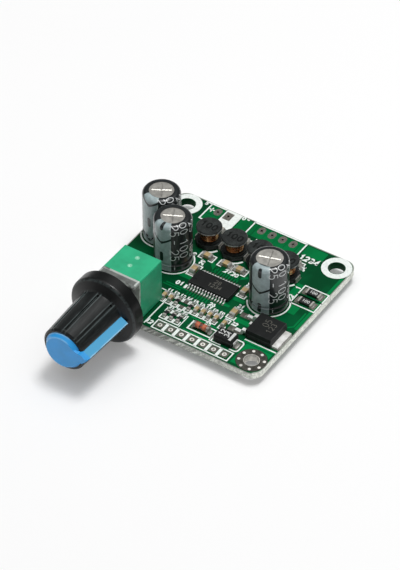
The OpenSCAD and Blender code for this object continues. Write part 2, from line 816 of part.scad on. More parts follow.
// Aluminium can, sealed, with a scored vent on top and a seat for the bung below
module capacitor_can(n) {
    color("#aaa59e")
        on_board(cap_ats[n - 1])
            difference() {
                rotate_extrude()
                    can_section(0);
                for (a = [0, 90])
                    rotate(vent_turns[n - 1] + a)
                        translate([0, 0, can_top])
                            rotate([90, 0, 90])
                                linear_extrude(vent_ds[n - 1] - 2 * score_w, center = true)
                                    score_section();
                translate([0, 0, rim_h - cut])
                    cylinder(r = bung_r + fixed_gap, h = bung_t - rim_h + cut);
            }
}

// Section of a score line: a shallow notch with two sloping sides
module score_section() {
    w = score_w / 2;
    polygon([[-w, 0], [0, -score_depth], [w, 0], [w, cut], [-w, cut]]);
}

// Shrunk sleeve that follows the can and leaves the vent bare
module capacitor_sleeve(n) {
    color("#10181a")
        on_board(cap_ats[n - 1])
            rotate_extrude()
                difference() {
                    can_section(fixed_gap + sleeve_t);
                    can_section(fixed_gap);
                    square([vent_ds[n - 1] / 2, cap_h + cut]);
                }
}

// Rubber bung that seals the can and sits on the board
module capacitor_bung(n) {
    color("#202020")
        on_board(cap_ats[n - 1])
            difference() {
                cylinder(r = bung_r, h = bung_t);
                for (s = [-1, 1])
                    translate([0, s * lead_pitch / 2, -cut])
                        cylinder(d = lead_d + 2 * fixed_gap, h = bung_t + 2 * cut);
            }
}

// Two wire leads, from the bung's top down through the board
module capacitor_leads(n) {
    color("#c8c9c6")
        on_board(cap_ats[n - 1])
            for (s = [-1, 1])
                translate([0, s * lead_pitch / 2, -board_t - lead_tail])
                    cylinder(d = lead_d, h = bung_t + board_t + lead_tail);
}

// Ferrite drum: eight-sided lower flange, step, waist and round upper flange
module inductor_core(n) {
    color("#3c3c3e")
        on_board(inductor_ats[n - 1])
            union() {
                translate([0, 0, clip_t])
                    rotate(180 / 8)
                        cylinder(r = base_flange_r, h = base_flange_t, $fn = 8);
                translate([0, 0, clip_t + base_flange_t / 2])
                    cylinder(d = step_d, h = base_flange_t / 2 + step_h);
                translate([0, 0, clip_t + base_flange_t])
                    cylinder(d = waist_d, h = inductor_h - clip_t - base_flange_t);
                translate([0, 0, winding_high])
                    rotate_extrude()
                        top_flange_section();
            }
}

// Half section of the upper flange, with a bevel at its top edge
module top_flange_section() {
    bevel = top_flange_t / 4;
    r = top_flange_d / 2;
    polygon([[0, 0], [r, 0], [r, top_flange_t - bevel], [r - bevel, top_flange_t], [0, top_flange_t]]);
}

// Winding: a ring whose outer face shows the layers of wire
module inductor_winding(n) {
    color("#8a5020")
        on_board(inductor_ats[n - 1])
            rotate_extrude()
                winding_section();
}

module winding_section() {
    inner = waist_d / 2 + fixed_gap;
    crown = winding_d / 2 - wire_d / 2;
    translate([inner, winding_low])
        square([crown - inner, winding_high - winding_low]);
    for (i = [0:winding_turns - 1])
        translate([crown, winding_low + (i + 0.5) * wire_d])
            circle(d = wire_d);
}

// Two sheet clips, bent up at the sides, that the drum stands on
module inductor_clips(n) {
    color("#c8c9c6")
        on_board(inductor_ats[n - 1])
            for (a = [0, 180])
                rotate(a)
                    rotate([90, 0, 0])
                        linear_extrude(clip_w, center = true)
                            polygon([[base_flat - clip_l, 0], [base_flat + clip_t, 0],
                                [base_flat + clip_t, clip_h], [base_flat, clip_h],
                                [base_flat, clip_t], [base_flat - clip_l, clip_t]]);
}

module amplifier_chip_body() {
    color("#26282a")
        on_board(chip_at)
            difference() {
                translate([0, 0, chip_lift])
                    drafted_block(chip_l, chip_w, chip_h);
                translate([dimple_d - chip_l / 2, dimple_d - chip_w / 2 + mould_draft,
                        chip_lift + chip_h - dimple_depth])
                    cylinder(d = dimple_d, h = cut);
            }
}

module amplifier_chip_leads() {
    color("#b8b9b6")
        on_board(chip_at)
            for (side = [-90, 90], i = [0:chip_leads_n - 1])
                translate([(i - (chip_leads_n - 1) / 2) * chip_pitch, 0, 0])
                    rotate(side)
                        translate([chip_w / 2, 0, 0])
                            gull_lead(chip_lead_reach, chip_lift + chip_h / 2, chip_lead_t, chip_lead_w);
}

// Moulded body of the tab package, with a pocket for the tab below
module tab_package_body() {
    color("#202224")
        on_board(tab_package_at)
            difference() {
                drafted_block(tab_body_l, tab_body_w, tab_body_h);
                tab_plate(fixed_gap);
            }
}

module tab_plate(gap) {
    translate([tab_body_l / 2 - tab_under - gap, -tab_w / 2 - gap, gap > 0 ? -cut : 0])
        cube([tab_under + tab_out + gap, tab_w + 2 * gap, tab_t + (gap > 0 ? cut : 0)]);
}

module tab_package_tab() {
    color("#c4c4c0")
        on_board(tab_package_at)
            tab_plate(0);
}

// Two bent outer leads and the cut middle one
module tab_package_leads() {
    height = tab_body_h / 2;
    color("#c4c4c0")
        on_board(tab_package_at)
            rotate(180)
                translate([tab_body_l / 2, 0, 0]) {
                    for (s = [-1, 1])
                        translate([0, s * tab_lead_pitch / 2, 0])
                            gull_lead(tab_lead_reach, height, tab_lead_t, tab_lead_w);
                    translate([0, -tab_lead_w / 2, height - tab_lead_t / 2])
                        cube([tab_stub_reach, tab_lead_w, tab_lead_t]);
                }
}

module rectifier_body() {
    color("#1e2022")
        on_board(rectifier_at)
            translate([0, 0, rectifier_lift])
                drafted_block(rectifier_l, rectifier_w, rectifier_h);
}

// Two terminals that come down the ends of the body and turn in under it
module rectifier_terminals() {
    color("#c8c9c6")
        on_board(rectifier_at)
            for (a = [0, 180])
                rotate(a)
                    rotate([90, 0, 0])
                        linear_extrude(terminal_w, center = true)
                            polygon([[rectifier_l / 2 - terminal_foot, 0], [rectifier_l / 2 + terminal_t, 0],
                                [rectifier_l / 2 + terminal_t, rectifier_lift + rectifier_h / 2],
                                [rectifier_l / 2, rectifier_lift + rectifier_h / 2],
                                [rectifier_l / 2, terminal_t],
                                [rectifier_l / 2 - terminal_foot, terminal_t]]);
}

module diode_glass() {
    color("#b95f41")
        on_diode()
            cylinder(r = diode_d / 2 - diode_step, h = diode_l - 2 * diode_cap_l, center = true);
}

module diode_caps() {
    color("#c8c9c6")
        on_diode()
            for (s = [-1, 1])
                translate([0, 0, s * (diode_l - diode_cap_l) / 2])
                    cylinder(d = diode_d, h = diode_cap_l, center = true);
}

// Lays the glass diode along x, on its end caps
module on_diode() {
    on_board(diode_at)
        translate([0, 0, diode_d / 2 + fixed_gap])
            rotate([0, 90, 0])
                children();
}

// Bodies of a chip part of one size, between their metal ends
module chip_part_bodies(size, ats, share = end_share) {
    for (at = ats)
        on_board(at)
            translate([-size[0] * (0.5 - share), end_skin - size[1] / 2, end_skin])
                cube([size[0] * (1 - 2 * share), size[1] - 2 * end_skin, size[2] - 2 * end_skin]);
}

// Metal ends of a chip part of one size
module chip_part_ends(size, ats, share = end_share) {
    for (at = ats)
        on_board(at)
            for (s = [-1, 1])
                translate([s * size[0] * (1 - share) / 2, 0, size[2] / 2])
                    rotate([90, 0, 90])
                        linear_extrude(size[0] * share, center = true)
                            rounded_rectangle(size[1], size[2], end_r);
}

module large_ceramic_bodies() {
    color("#af9b73")
        chip_part_bodies(large_ceramic, large_ceramic_ats);
}

module large_ceramic_ends() {
    color("#c8c8c4")
        chip_part_ends(large_ceramic, large_ceramic_ats);
}

module small_ceramic_bodies() {
    color("#af9b73")
        chip_part_bodies(small_ceramic, small_ceramic_ats);
}

module small_ceramic_ends() {
    color("#c8c8c4")
        chip_part_ends(small_ceramic, small_ceramic_ats);
}

module small_resistor_bodies() {
    color("#1c1c1e")
        chip_part_bodies(small_resistor, small_resistor_ats);
}

module small_resistor_ends() {
    color("#c8c8c4")
        chip_part_ends(small_resistor, small_resistor_ats);
}

module large_resistor_bodies() {
    color("#1c1c1e")
        chip_part_bodies(large_resistor, large_resistor_ats, large_end_share);
}

module large_resistor_ends() {
    color("#c8c8c4")
        chip_part_ends(large_resistor, large_resistor_ats, large_end_share);
}

// Solder cones under the board, round each wire lead and pin
module underside_solder() {
    color("#b4b6b4") {
        for (at = lead_ats)
            solder_cone(at)
                circle(d = lead_d + 2 * fixed_gap);
        for (at = pin_ats)
            solder_cone(at)
                square([pin_w, pin_t] + 2 * fixed_gap * [1, 1], center = true);
    }
}

// One cone with a hole of the given outline
module solder_cone(at) {
    translate([at[0], at[1], -solder_h])
        difference() {
            cylinder(d1 = solder_tip_d, d2 = solder_d, h = solder_h);
            translate([0, 0, -cut])
                linear_extrude(solder_h + 2 * cut)
                    children();
        }
}

circuit_board();
pot_housing();
pot_front_plate();
pot_shaft();
pot_rotors();
pot_wipers();
pot_wafers();
pot_pins();
knob_body();
knob_pointer();
capacitor_can(1);  // capacitor_1_can
capacitor_sleeve(1);  // capacitor_1_sleeve
capacitor_bung(1);  // capacitor_1_bung
capacitor_leads(1);  // capacitor_1_leads
capacitor_can(2);  // capacitor_2_can
capacitor_sleeve(2);  // capacitor_2_sleeve
capacitor_bung(2);  // capacitor_2_bung
capacitor_leads(2);  // capacitor_2_leads
capacitor_can(3);  // capacitor_3_can
capacitor_sleeve(3);  // capacitor_3_sleeve
capacitor_bung(3);  // capacitor_3_bung
capacitor_leads(3);  // capacitor_3_leads
inductor_core(1);  // inductor_1_core
inductor_winding(1);  // inductor_1_winding
inductor_clips(1);  // inductor_1_clips
inductor_core(2);  // inductor_2_core
inductor_winding(2);  // inductor_2_winding
inductor_clips(2);  // inductor_2_clips
inductor_core(3);  // inductor_3_core
inductor_winding(3);  // inductor_3_winding
inductor_clips(3);  // inductor_3_clips
inductor_core(4);  // inductor_4_core
inductor_winding(4);  // inductor_4_winding
inductor_clips(4);  // inductor_4_clips
amplifier_chip_body();
amplifier_chip_leads();
tab_package_body();
tab_package_tab();
tab_package_leads();
rectifier_body();
rectifier_terminals();
diode_glass();
diode_caps();
large_ceramic_bodies();
large_ceramic_ends();
small_ceramic_bodies();
small_ceramic_ends();
small_resistor_bodies();
small_resistor_ends();
large_resistor_bodies();
large_resistor_ends();
underside_solder();
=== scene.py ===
"""Looks of a small stereo amplifier board with a volume knob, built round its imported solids.

The solids keep their shapes and get finishes. The thin things that lie on them are added here:
printed lines, tinned pads, tracks under the lacquer, solder, and the prints on the parts.
"""
import math

import bpy
import numpy as np
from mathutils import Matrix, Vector


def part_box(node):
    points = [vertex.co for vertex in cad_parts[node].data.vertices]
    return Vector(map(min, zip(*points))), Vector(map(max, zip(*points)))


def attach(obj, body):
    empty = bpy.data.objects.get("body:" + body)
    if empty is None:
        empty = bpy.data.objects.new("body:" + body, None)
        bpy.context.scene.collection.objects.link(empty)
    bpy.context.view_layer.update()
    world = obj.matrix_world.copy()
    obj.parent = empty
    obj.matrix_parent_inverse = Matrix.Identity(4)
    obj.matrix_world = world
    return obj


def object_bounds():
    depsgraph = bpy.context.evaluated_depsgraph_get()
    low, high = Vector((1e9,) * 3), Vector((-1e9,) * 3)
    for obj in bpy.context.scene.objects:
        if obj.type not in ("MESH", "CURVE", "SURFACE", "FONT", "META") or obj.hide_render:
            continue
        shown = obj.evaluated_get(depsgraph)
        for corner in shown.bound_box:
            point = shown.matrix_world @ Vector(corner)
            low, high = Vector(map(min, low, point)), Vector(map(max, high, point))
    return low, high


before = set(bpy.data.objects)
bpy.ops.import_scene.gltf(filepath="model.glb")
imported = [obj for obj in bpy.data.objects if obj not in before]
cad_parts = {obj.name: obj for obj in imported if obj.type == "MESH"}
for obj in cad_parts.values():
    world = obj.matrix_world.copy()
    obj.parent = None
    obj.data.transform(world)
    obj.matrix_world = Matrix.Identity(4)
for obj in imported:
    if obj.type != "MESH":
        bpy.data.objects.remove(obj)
CAD_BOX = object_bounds()

bl_info = {
    "name": "Amplifier Board",
    "version": (1, 0, 0),
    "blender": (4, 5, 0),
    "location": "View3D > Sidebar > Amplifier",
    "description": "Finishes, prints and solder of a small amplifier board",
    "category": "Object",
}

MM = 0.001


def box_mm(node):
    """Lowest and highest corner of a solid, in millimetres."""
    low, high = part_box(node)
    return np.array(low) / MM, np.array(high) / MM


def middle(node):
    """Centre of a solid's box, in millimetres."""
    low, high = box_mm(node)
    return (low + high) / 2


def lid(node):
    """Height of a solid's top above the board's top face, in millimetres."""
    return box_mm(node)[1][2] - TOP


# Half the board's width and depth, and the height of its top face
HALF_W, HALF_D, TOP = box_mm("circuit_board")[1]
# Height of added pieces' undersides: a little below the face that they lie on
SUNK = -0.02
CAPS = (1, 2, 3)
COILS = (1, 2, 3, 4)
COIL_AT = [middle(f"inductor_{n}_core")[:2] for n in COILS]
CHIP_AT = middle("amplifier_chip_body")
CHIP_PITCH = 0.65
CHIP_LEADS = 14

# Chip parts on the board: x, y and quarter turns
LARGE_CERAMICS = [(x - 0.1, y + 4.0, 0) for x, y in COIL_AT] + [
    (-5.6, 4.5, 0), (-1.0, 4.5, 0), (2.2, 4.5, 0),
    (-5.6, -0.35, 1), (6.55, -0.35, 1), (8.2, -6.75, 1)]
LONG_ROW = [(-6.35 + 1.55 * i, -10.05, 1) for i in range(9)]
SHORT_ROW = [(-3.2 + 1.58 * i, -14.15, 1) for i in range(3)]
SMALL_CERAMICS = [LONG_ROW[i] for i in (0, 1, 5, 6, 7, 8)] + [(8.2, -10.45, 1)]
SMALL_RESISTORS = [LONG_ROW[i] for i in (2, 4)] + SHORT_ROW
LARGE_RESISTORS = [(18.5, 6.7, 0), (18.5, 3.75, 0)]
BARE_PLACE = LONG_ROW[3]

# Places of the plated holes and the mounting holes
HEADER_PITCH = 2.54
HEADER = [(-2.35 + HEADER_PITCH * i, -17.62) for i in range(7)]
SPEAKER = [(-0.64 + HEADER_PITCH * i, 17.4) for i in range(4)]
SUPPLY = [(-11.4, 17.4), (-8.86, 17.4)]
MOUNTS = [(-18.25, -16.1), (-18.25, 16.1), (18.25, 16.1)]
EARTH = (18.25, -16.1)
# Radius of the wire holes, and of the lacquer and ink left clear round them
WIRE_HOLE = 0.46
WIRE_CLEAR = 0.6


# Colours and sizes that a user would change

def linear(red, green, blue):
    """A display colour, 0 to 255, as the linear values that shaders take."""
    share = np.array([red, green, blue]) / 255
    value = np.where(share <= 0.04045, share / 12.92, ((share + 0.055) / 1.055) ** 2.4)
    return tuple(float(v) for v in value)


def colour(name, description, *display):
    """A colour property, given as display values from 0 to 255."""
    return bpy.props.FloatVectorProperty(
        name=name, description=description, subtype="COLOR", size=3, min=0, max=1,
        default=linear(*display))


def length(name, description, millimetres):
    """A length property, given in millimetres."""
    return bpy.props.FloatProperty(
        name=name, description=description, subtype="DISTANCE", unit="LENGTH", min=0,
        precision=5, default=millimetres * MM)


def share(name, description, default, most=1.0):
    """A plain number from zero to most."""
    return bpy.props.FloatProperty(
        name=name, description=description, min=0, max=most, default=default)


class BoardLook(bpy.types.PropertyGroup):
    """Colours of the bare board and the heights of what lies on it"""
    mask: colour("Lacquer", "Green lacquer over the bare laminate", 0, 70, 37)
    mask_copper: colour("Lacquer on copper", "Green lacquer over tracks and copper areas", 0, 108, 56)
    laminate: colour("Laminate", "Glass laminate at the board's edges", 240, 243, 234)
    ink: colour("Ink", "White ink of the printed lines and numbers", 240, 246, 242)
    tin: colour("Tin", "Dull tin of the pads", 98, 96, 90)
    solder: colour("Solder", "Bright solder and the plating inside the holes", 206, 204, 198)
    pen: share("Pen", "Weight of the printed lines against their usual weight", 1.28, 3)
    ink_height: length("Ink height", "Height of the printed lines", 0.04)
    track_height: length("Track height", "Height of tracks under the lacquer", 0.03)
    pad_height: length("Pad height", "Height of the tinned pads", 0.06)


class ControlLook(bpy.types.PropertyGroup):
    """Colours of the volume control and its knob"""
    housing: colour("Housing", "Moulded housing of the control", 34, 172, 124)
    plate: colour("Front plate", "Cast front plate of the control", 122, 126, 123)
    knob: colour("Knob", "Black plastic of the knob", 17, 20, 20)
    pointer: colour("Pointer", "Coloured insert of the knob", 42, 156, 228)


class CapacitorLook(bpy.types.PropertyGroup):
    """Colours of the electrolytic capacitors"""
    sleeve: colour("Sleeve", "Shrunk plastic sleeve", 16, 22, 24)
    stripe: colour("Stripe", "Printed stripe at the negative lead", 158, 174, 176)
    ink: colour("Numbers", "Printed numbers", 218, 222, 222)
    can: colour("Can", "Bare aluminium end of the can", 207, 205, 198)


class PartLook(bpy.types.PropertyGroup):
    """Colours of the smaller parts"""
    ferrite: colour("Ferrite", "Inductor cores", 35, 39, 38)
    copper: colour("Copper", "Enamelled copper wire", 194, 116, 56)
    mould: colour("Moulding", "Moulded bodies of the chips", 22, 24, 24)
    mark: colour("Laser marks", "Marks on the moulded bodies", 88, 87, 80)
    ceramic: colour("Ceramic", "Bodies of the chip capacitors", 178, 155, 112)
    glass: colour("Glass", "Body of the glass diode", 190, 98, 62)


class StageLook(bpy.types.PropertyGroup):
    """Floor, lights and camera"""
    floor: colour("Floor", "Pale floor", 251, 251, 251)
    sky: share("Sky", "Light from overhead", 1.0, 4)
    horizon: share("Horizon", "Light from the sides", 0.16, 4)
    key: share("Key light", "Power of the large lamp above and behind, in watts", 3.5, 50)
    azimuth: bpy.props.FloatProperty(
        name="Azimuth", description="Camera's turn from the front towards the right",
        subtype="ANGLE", unit="ROTATION", default=math.radians(33.39))
    elevation: bpy.props.FloatProperty(
        name="Elevation", description="Camera's height above the horizon",
        subtype="ANGLE", unit="ROTATION", default=math.radians(42.42))
    distance: length("Distance", "From the camera to the middle of the picture", 527.4)
    lens: bpy.props.FloatProperty(
        name="Lens", description="Focal length on a 36 mm sensor", subtype="DISTANCE_CAMERA",
        unit="CAMERA", default=164.9)


# Shader values and finishes

class Value:
    """A socket's value. Arithmetic on it adds Math nodes to its tree."""

    def __init__(self, nodes, socket):
        self.nodes = nodes
        self.socket = socket

    def maths(self, operation, *terms):
        """One Math node on these terms."""
        return self.nodes.node("ShaderNodeMath", {"operation": operation}, dict(enumerate(terms)))

    def __add__(self, other):
        return self.maths("ADD", self, other)

    __radd__ = __add__

    def __sub__(self, other):
        return self.maths("SUBTRACT", self, other)

    def __rsub__(self, other):
        return self.maths("SUBTRACT", other, self)

    def __mul__(self, other):
        return self.maths("MULTIPLY", self, other)

    __rmul__ = __mul__

    def __pow__(self, other):
        return self.maths("POWER", self, other)

    def __abs__(self):
        return self.maths("ABSOLUTE", self)

    def most(self, other):
        return self.maths("MAXIMUM", self, other)

    def least(self, other):
        return self.maths("MINIMUM", self, other)

    def sine(self):
        return self.maths("SINE", self)

    def rise(self, low, high, start=0.0, end=1.0):
        """Start below low, end above high, and a smooth step between them."""
        return self.nodes.node(
            "ShaderNodeMapRange", {"interpolation_type": "SMOOTHSTEP"},
            {"Value": self, "From Min": low, "From Max": high, "To Min": start, "To Max": end})


def distance(*parts):
    """Length of a line with these components: the root of the sum of their squares."""
    return sum(part * part for part in parts) ** 0.5


class Nodes:
    """A node tree that grows one node at a time."""

    def __init__(self, tree):
        self.tree = tree

    def node(self, kind, settings=None, sockets=None, output=0):
        """Adds a node: its settings first, then the values or links of its sockets."""
        made = self.tree.nodes.new(kind)
        for key, value in (settings or {}).items():
            setattr(made, key, value)
        for key, value in (sockets or {}).items():
            self.feed(made.inputs[key], value)
        return Value(self, made.outputs[output])

    def feed(self, socket, value):
        """Links a value to a socket, or sets the socket to a plain one."""
        if isinstance(value, Value):
            self.tree.links.new(value.socket, socket)
        elif socket.type == "RGBA":
            socket.default_value = (*value, 1.0)
        else:
            socket.default_value = value


class Finish(Nodes):
    """A material with one Principled shader, fed by procedural values."""

    def __init__(self, name, **constants):
        self.material = bpy.data.materials.new(name)
        self.material.use_nodes = True
        super().__init__(self.material.node_tree)
        self.shader = self.tree.nodes["Principled BSDF"]
        self.set(**constants)

    def set(self, **sockets):
        """Sets or links the shader's sockets; base_color stands for Base Color."""
        for key, value in sockets.items():
            title = key.replace("_", " ").title().replace("Ior", "IOR")
            self.feed(self.shader.inputs[title], value)

    def place(self, stretch=(1, 1, 1)):
        """Object coordinates in millimetres, stretched along each axis."""
        spot = self.node("ShaderNodeTexCoord", output=3)
        return self.node("ShaderNodeVectorMath", {"operation": "MULTIPLY"},
                         {0: spot, 1: [s / MM for s in stretch]})

    def axes(self):
        """The three coordinates in millimetres."""
        spot = self.node("ShaderNodeSeparateXYZ", None, {0: self.place()})
        return [Value(self, part) for part in spot.socket.node.outputs]

    def noise(self, scale, detail, stretch=(1, 1, 1)):
        """Cloudy noise from zero to one, scale waves to a millimetre."""
        return self.node("ShaderNodeTexNoise", None,
                         {"Vector": self.place(stretch), "Scale": scale, "Detail": detail})

    def blend(self, amount, low, high):
        """A colour that goes from low to high with amount."""
        return self.node("ShaderNodeMix", {"data_type": "RGBA"}, {0: amount, 6: low, 7: high}, 2)

    def shade(self, amount, rgb, dark, light):
        """A colour that goes from one tone to another with amount."""
        return self.blend(amount, tone(rgb, dark), tone(rgb, light))

    def bump(self, height, depth, strength):
        """Adds relief and gives the material: height is from zero to one, depth in millimetres."""
        self.set(normal=self.node("ShaderNodeBump", None, {
            "Height": height, "Distance": depth * MM, "Strength": strength}))
        return self.material


def tone(rgb, factor):
    """A linear colour made lighter or darker."""
    return tuple(min(1.0, float(c) * factor) for c in rgb)


def weigh(values, shares):
    """The sum of values, each times its share; those without a share are left out."""
    return sum(value * part for value, part in zip(values, shares) if part)


def clouded(name, rgb, tones, cloud, grain, cover, gloss, relief, edges=(0.3, 0.7), **constants):
    """A finish from two noises, a cloud and a finer grain, each given as scale, detail, stretch.

    cover, gloss and relief hold the shares of cloud and grain in the colour, the roughness and
    the height. The colour goes from the first of tones to the second as its sum rises between
    edges. gloss ends with the least roughness, relief with the depth and the strength.
    """
    f = Finish(name, **constants)
    noises = f.noise(*cloud), f.noise(*grain)
    f.set(base_color=f.shade(weigh(noises, cover).rise(*edges), rgb, *tones),
          roughness=weigh(noises, gloss) + gloss[2])
    return f.bump(weigh(noises, relief), *relief[2:])


def board_ink(look):
    """White printing ink, slightly uneven in cover and gloss."""
    return clouded("board_ink", look.ink, tones=(0.86, 1), cloud=(2.2, 3), grain=(9, 2), cover=(1, 0),
                   gloss=(0, 0.2, 0.45), relief=(0, 1, 0.012, 0.5), edges=(0.3, 0.6))


def tinned(name, rgb, rough=0.3, wave=1.4, depth=0.05, metal=1.0):
    """Tin or solder that has run and set: soft waves, cloudy gloss; less metal is duller, paler."""
    return clouded(name, rgb, tones=(0.72, 1.15), cloud=(wave, 2), grain=(6, 3), cover=(1, 0),
                   gloss=(0, 0.25, rough - 0.1), relief=(0.7, 0.3, depth, 0.6), metallic=metal)


def sleeve_film(look):
    """Glossy shrunk film over the can, with faint stretch marks round it."""
    return clouded("sleeve_film", look.sleeve, tones=(0.8, 1.5), cloud=(0.8, 2, (1, 1, 2.5)),
                   grain=(9, 2), cover=(1, 0), gloss=(0, 0.1, 0.25), relief=(1, 0, 0.02, 0.35),
                   coat_weight=0.4, coat_roughness=0.1)


def stripe_ink(look):
    """Grey ink of the negative stripe, printed under the film's gloss."""
    return clouded("stripe_ink", look.stripe, tones=(0.85, 1.12), cloud=(1.4, 3), grain=(9, 2),
                   cover=(1, 0), gloss=(0, 0.12, 0.3), relief=(1, 0, 0.01, 0.3),
                   coat_weight=0.4, coat_roughness=0.12)


def bare_can(look):
    """Drawn aluminium with fine turning marks and a dull skin."""
    return clouded("bare_can", look.can, tones=(0.8, 1.08), cloud=(0.9, 2), grain=(5, 3, (1, 0.2, 1)),
                   cover=(1, 0), gloss=(0, 0.2, 0.3), relief=(0, 1, 0.015, 0.5), metallic=1.0)


def chip_ceramic(look):
    """Fired ceramic of the chip capacitors: matt tan with fine speckle."""
    return clouded("chip_ceramic", look.ceramic, tones=(0.75, 1.2), cloud=(0.8, 2), grain=(8, 3),
                   cover=(0.5, 0.5), gloss=(0, 0.15, 0.4), relief=(0, 1, 0.012, 0.5))


def painted_light_gradient(x, y):
    """Painted light on the lacquer: zero at the left and back of the board, one at its right front, which
    is painted brightest.
    """
    return (x * 0.6 - y * 0.4).rise(-16, 18)


def solder_mask(look):
    """Lacquered board: green on both faces, mottled glass laminate at the edges.

    The edge is known by height. Near the outline the lacquer thins: the distance to a rounded
    rectangle is the length of the part of (|x|, |y|) past the corner centres, less the radius.
    The front edge has slanting dark streaks, noise drawn out along a slope in x and z; as painted shade
    they deepen towards the left, where the knob's shadow falls, and the edge is darker just below its top.
    """
    f = Finish("solder_mask", coat_roughness=0.08, specular_ior_level=0.06, emission_strength=0.25)
    x, y, z = f.axes()
    corner, half_thick = 2.5, TOP / 2
    past = [(abs(part) - (half - corner)).most(0) for part, half in ((x, HALF_W), (y, HALF_D))]
    inset = corner - distance(*past)
    side = abs(z - half_thick).rise(half_thick - 0.02, half_thick - 0.06)
    side = side * (1 - inset.rise(0.5, 0.8))
    rim = (1 - inset.rise(0.1, 0.3)) * y.rise(0.3 - HALF_D, 0.7 - HALF_D)
    cloud, grain = f.noise(0.16, 3), f.noise(7, 2)
    mottle = cloud.rise(0.38, 0.66)
    # Painted light: the lacquer goes from a darker tone at the left and back to a lighter one at the right
    # front.
    green = f.blend(painted_light_gradient(x, y), f.shade(mottle, look.mask, 0.8, 1.15),
                    f.shade(mottle, look.mask, 1, 1.6))
    green = f.blend(rim * 0.75, green, tone(look.laminate, 0.6))
    fibre, streak = f.noise(1.1, 4, (1, 1, 3.2)), f.noise(3, 2, (1, 1, 0.35))
    pale = f.shade((fibre * 0.6 + streak * 0.5).rise(0.38, 0.72), look.laminate, 0.6, 1)
    slant = f.node("ShaderNodeCombineXYZ", None, {0: x * 0.75 - z * 0.9, 1: z * 0.12})
    slant_streaks = f.node("ShaderNodeTexNoise", None, {"Vector": slant, "Scale": 1.3, "Detail": 2.0})
    front = y.rise(0.4 - HALF_D, 0.2 - HALF_D)
    upper = z.rise(TOP - 0.5, TOP - 0.15)
    # Painted shade: the streaks deepen towards the left, under the knob's shadow.
    front_streaks_and_shade = (slant_streaks.rise(0.4, 0.56) * x.rise(20, -2)).most(upper * 0.8) * front
    pale = f.blend(front_streaks_and_shade * 0.75, pale, tone(look.laminate, 0.14))
    # Painted light: the side faces, all but the front, glow with the laminate's colour to look brighter.
    f.set(base_color=f.blend(side, green, pale), roughness=side * 0.4 + grain * 0.08 + 0.3,
          coat_weight=(1 - side) * 0.04, emission_color=f.blend(side * (1 - front), (0, 0, 0), pale))
    return f.bump(cloud * 0.4 + grain * 0.2 + side * fibre, 0.03, 0.5)


def lacquered_copper(look):
    """Lacquer over copper: lighter than the bare board, with a fine woven grain."""
    f = Finish("lacquered_copper", coat_weight=0.04, coat_roughness=0.08, specular_ior_level=0.06)
    cloud, grain = f.noise(0.3, 3), f.noise(7, 2)
    x, y, _ = f.axes()
    # Painted light: the lacquer over copper is darker at the left and back, lighter at the right front.
    green = f.shade(painted_light_gradient(x, y), look.mask_copper, 0.75, 1.35)
    pale = tone(look.mask_copper, 1.5)
    f.set(base_color=f.blend(cloud.rise(0.35, 0.65) * 0.3, green, pale), roughness=grain * 0.1 + 0.3)
    return f.bump(grain, 0.01, 0.4)


def near_edges(f, low, high, width):
    """One along the edges of a box and zero further off than width.

    Each axis gives its closeness to the two faces; an edge is where two of them are close.
    """
    x, y, z = [abs(part - (a + b) / 2).rise((b - a) / 2 - width, (b - a) / 2)
               for part, a, b in zip(f.axes(), low, high)]
    return (x * y).most(y * z).most(x * z)


def cast_metal(look):
    """Grey cast metal with a sandy skin, with painted highlights along the edges of the plate."""
    f = Finish("cast_metal", metallic=0.6)
    sand, cloud = f.noise(5, 3), f.noise(0.7, 2)
    low, high = box_mm("pot_housing")
    plate_thick, highlight_width = 2.1, 0.7
    edge = near_edges(f, (low[0], low[1] - plate_thick, low[2]), (high[0], low[1], high[2]), highlight_width)
    skin = f.shade(cloud.rise(0.3, 0.7), look.plate, 0.75, 1.1)
    # Painted highlight: the plate's edges lighten to a pale tone where the cloud allows.
    edge_highlight = edge.rise(0.05, 0.4) * cloud.rise(0.3, 0.55)
    f.set(base_color=f.blend(edge_highlight, skin, tone(look.plate, 3)), roughness=sand * 0.25 + 0.3)
    return f.bump(sand, 0.04, 0.6)


def plastic(name, rgb, spread, grain_scale, rough, **constants):
    """Moulded plastic before wear and relief: the finish, its flow marks, grain and colour.

    The flow marks spread the colour to darker and lighter tones; the grain gives the gloss.
    """
    f = Finish(name, **constants)
    flow, grain = f.noise(0.35, 3), f.noise(grain_scale, 3)
    f.set(roughness=grain * 0.16 + flow * 0.08 + rough)
    return f, flow, grain, f.shade(flow.rise(0.3, 0.7), rgb, 1 - spread, 1 + spread)


def moulded(name, rgb, rough=0.4, grain_scale=8.0, depth=0.012, coat=0.0, spread=0.2, shine=0.5):
    """Moulded plastic: an even colour with faint flow marks and a fine spark-eroded grain."""
    f, _, grain, even = plastic(name, rgb, spread, grain_scale, rough - 0.12, coat_weight=coat,
                                coat_roughness=0.15, specular_ior_level=shine)
    f.set(base_color=even)
    return f.bump(grain, depth, 0.6)


def housing_plastic(look):
    """Green moulding: faint flow marks, rubbed patches on the sides and two mould marks painted pale as
    highlights.

    The mould marks lie above the two wafers inside; each is a disc round its own middle.
    """
    f, _, grain, green = plastic("control_housing", look.housing, spread=0.1, grain_scale=5, rough=0.3,
                                 coat_weight=0.15, coat_roughness=0.15)
    x, y, z = f.axes()
    low, high = box_mm("pot_wafers")
    inset, mark_reach, pale, rubbed = 0.4, 0.62, (0.62, 0.82, 0.72), (0.5, 0.66, 0.6)
    upper = box_mm("pot_housing")[1][2]
    top = z.rise(upper - 0.3, upper - 0.2)
    across = x - middle("pot_housing")[0]
    front, back = [distance(y - row, across) for row in (low[1] + inset, high[1] - inset)]
    mark = top * (1 - front.least(back).rise(mark_reach * 0.55, mark_reach))
    scuff = (1 - top) * f.noise(0.8, 3, (1, 1, 0.5)).rise(0.58, 0.74)
    # Painted highlight: the two mould marks turn pale.
    green = f.blend(mark * 0.75, green, f.blend(grain, tone(look.housing, 1.5), pale))
    f.set(base_color=f.blend(scuff * 0.14, green, rubbed))
    return f.bump(grain + mark * 0.6, 0.02, 0.6)


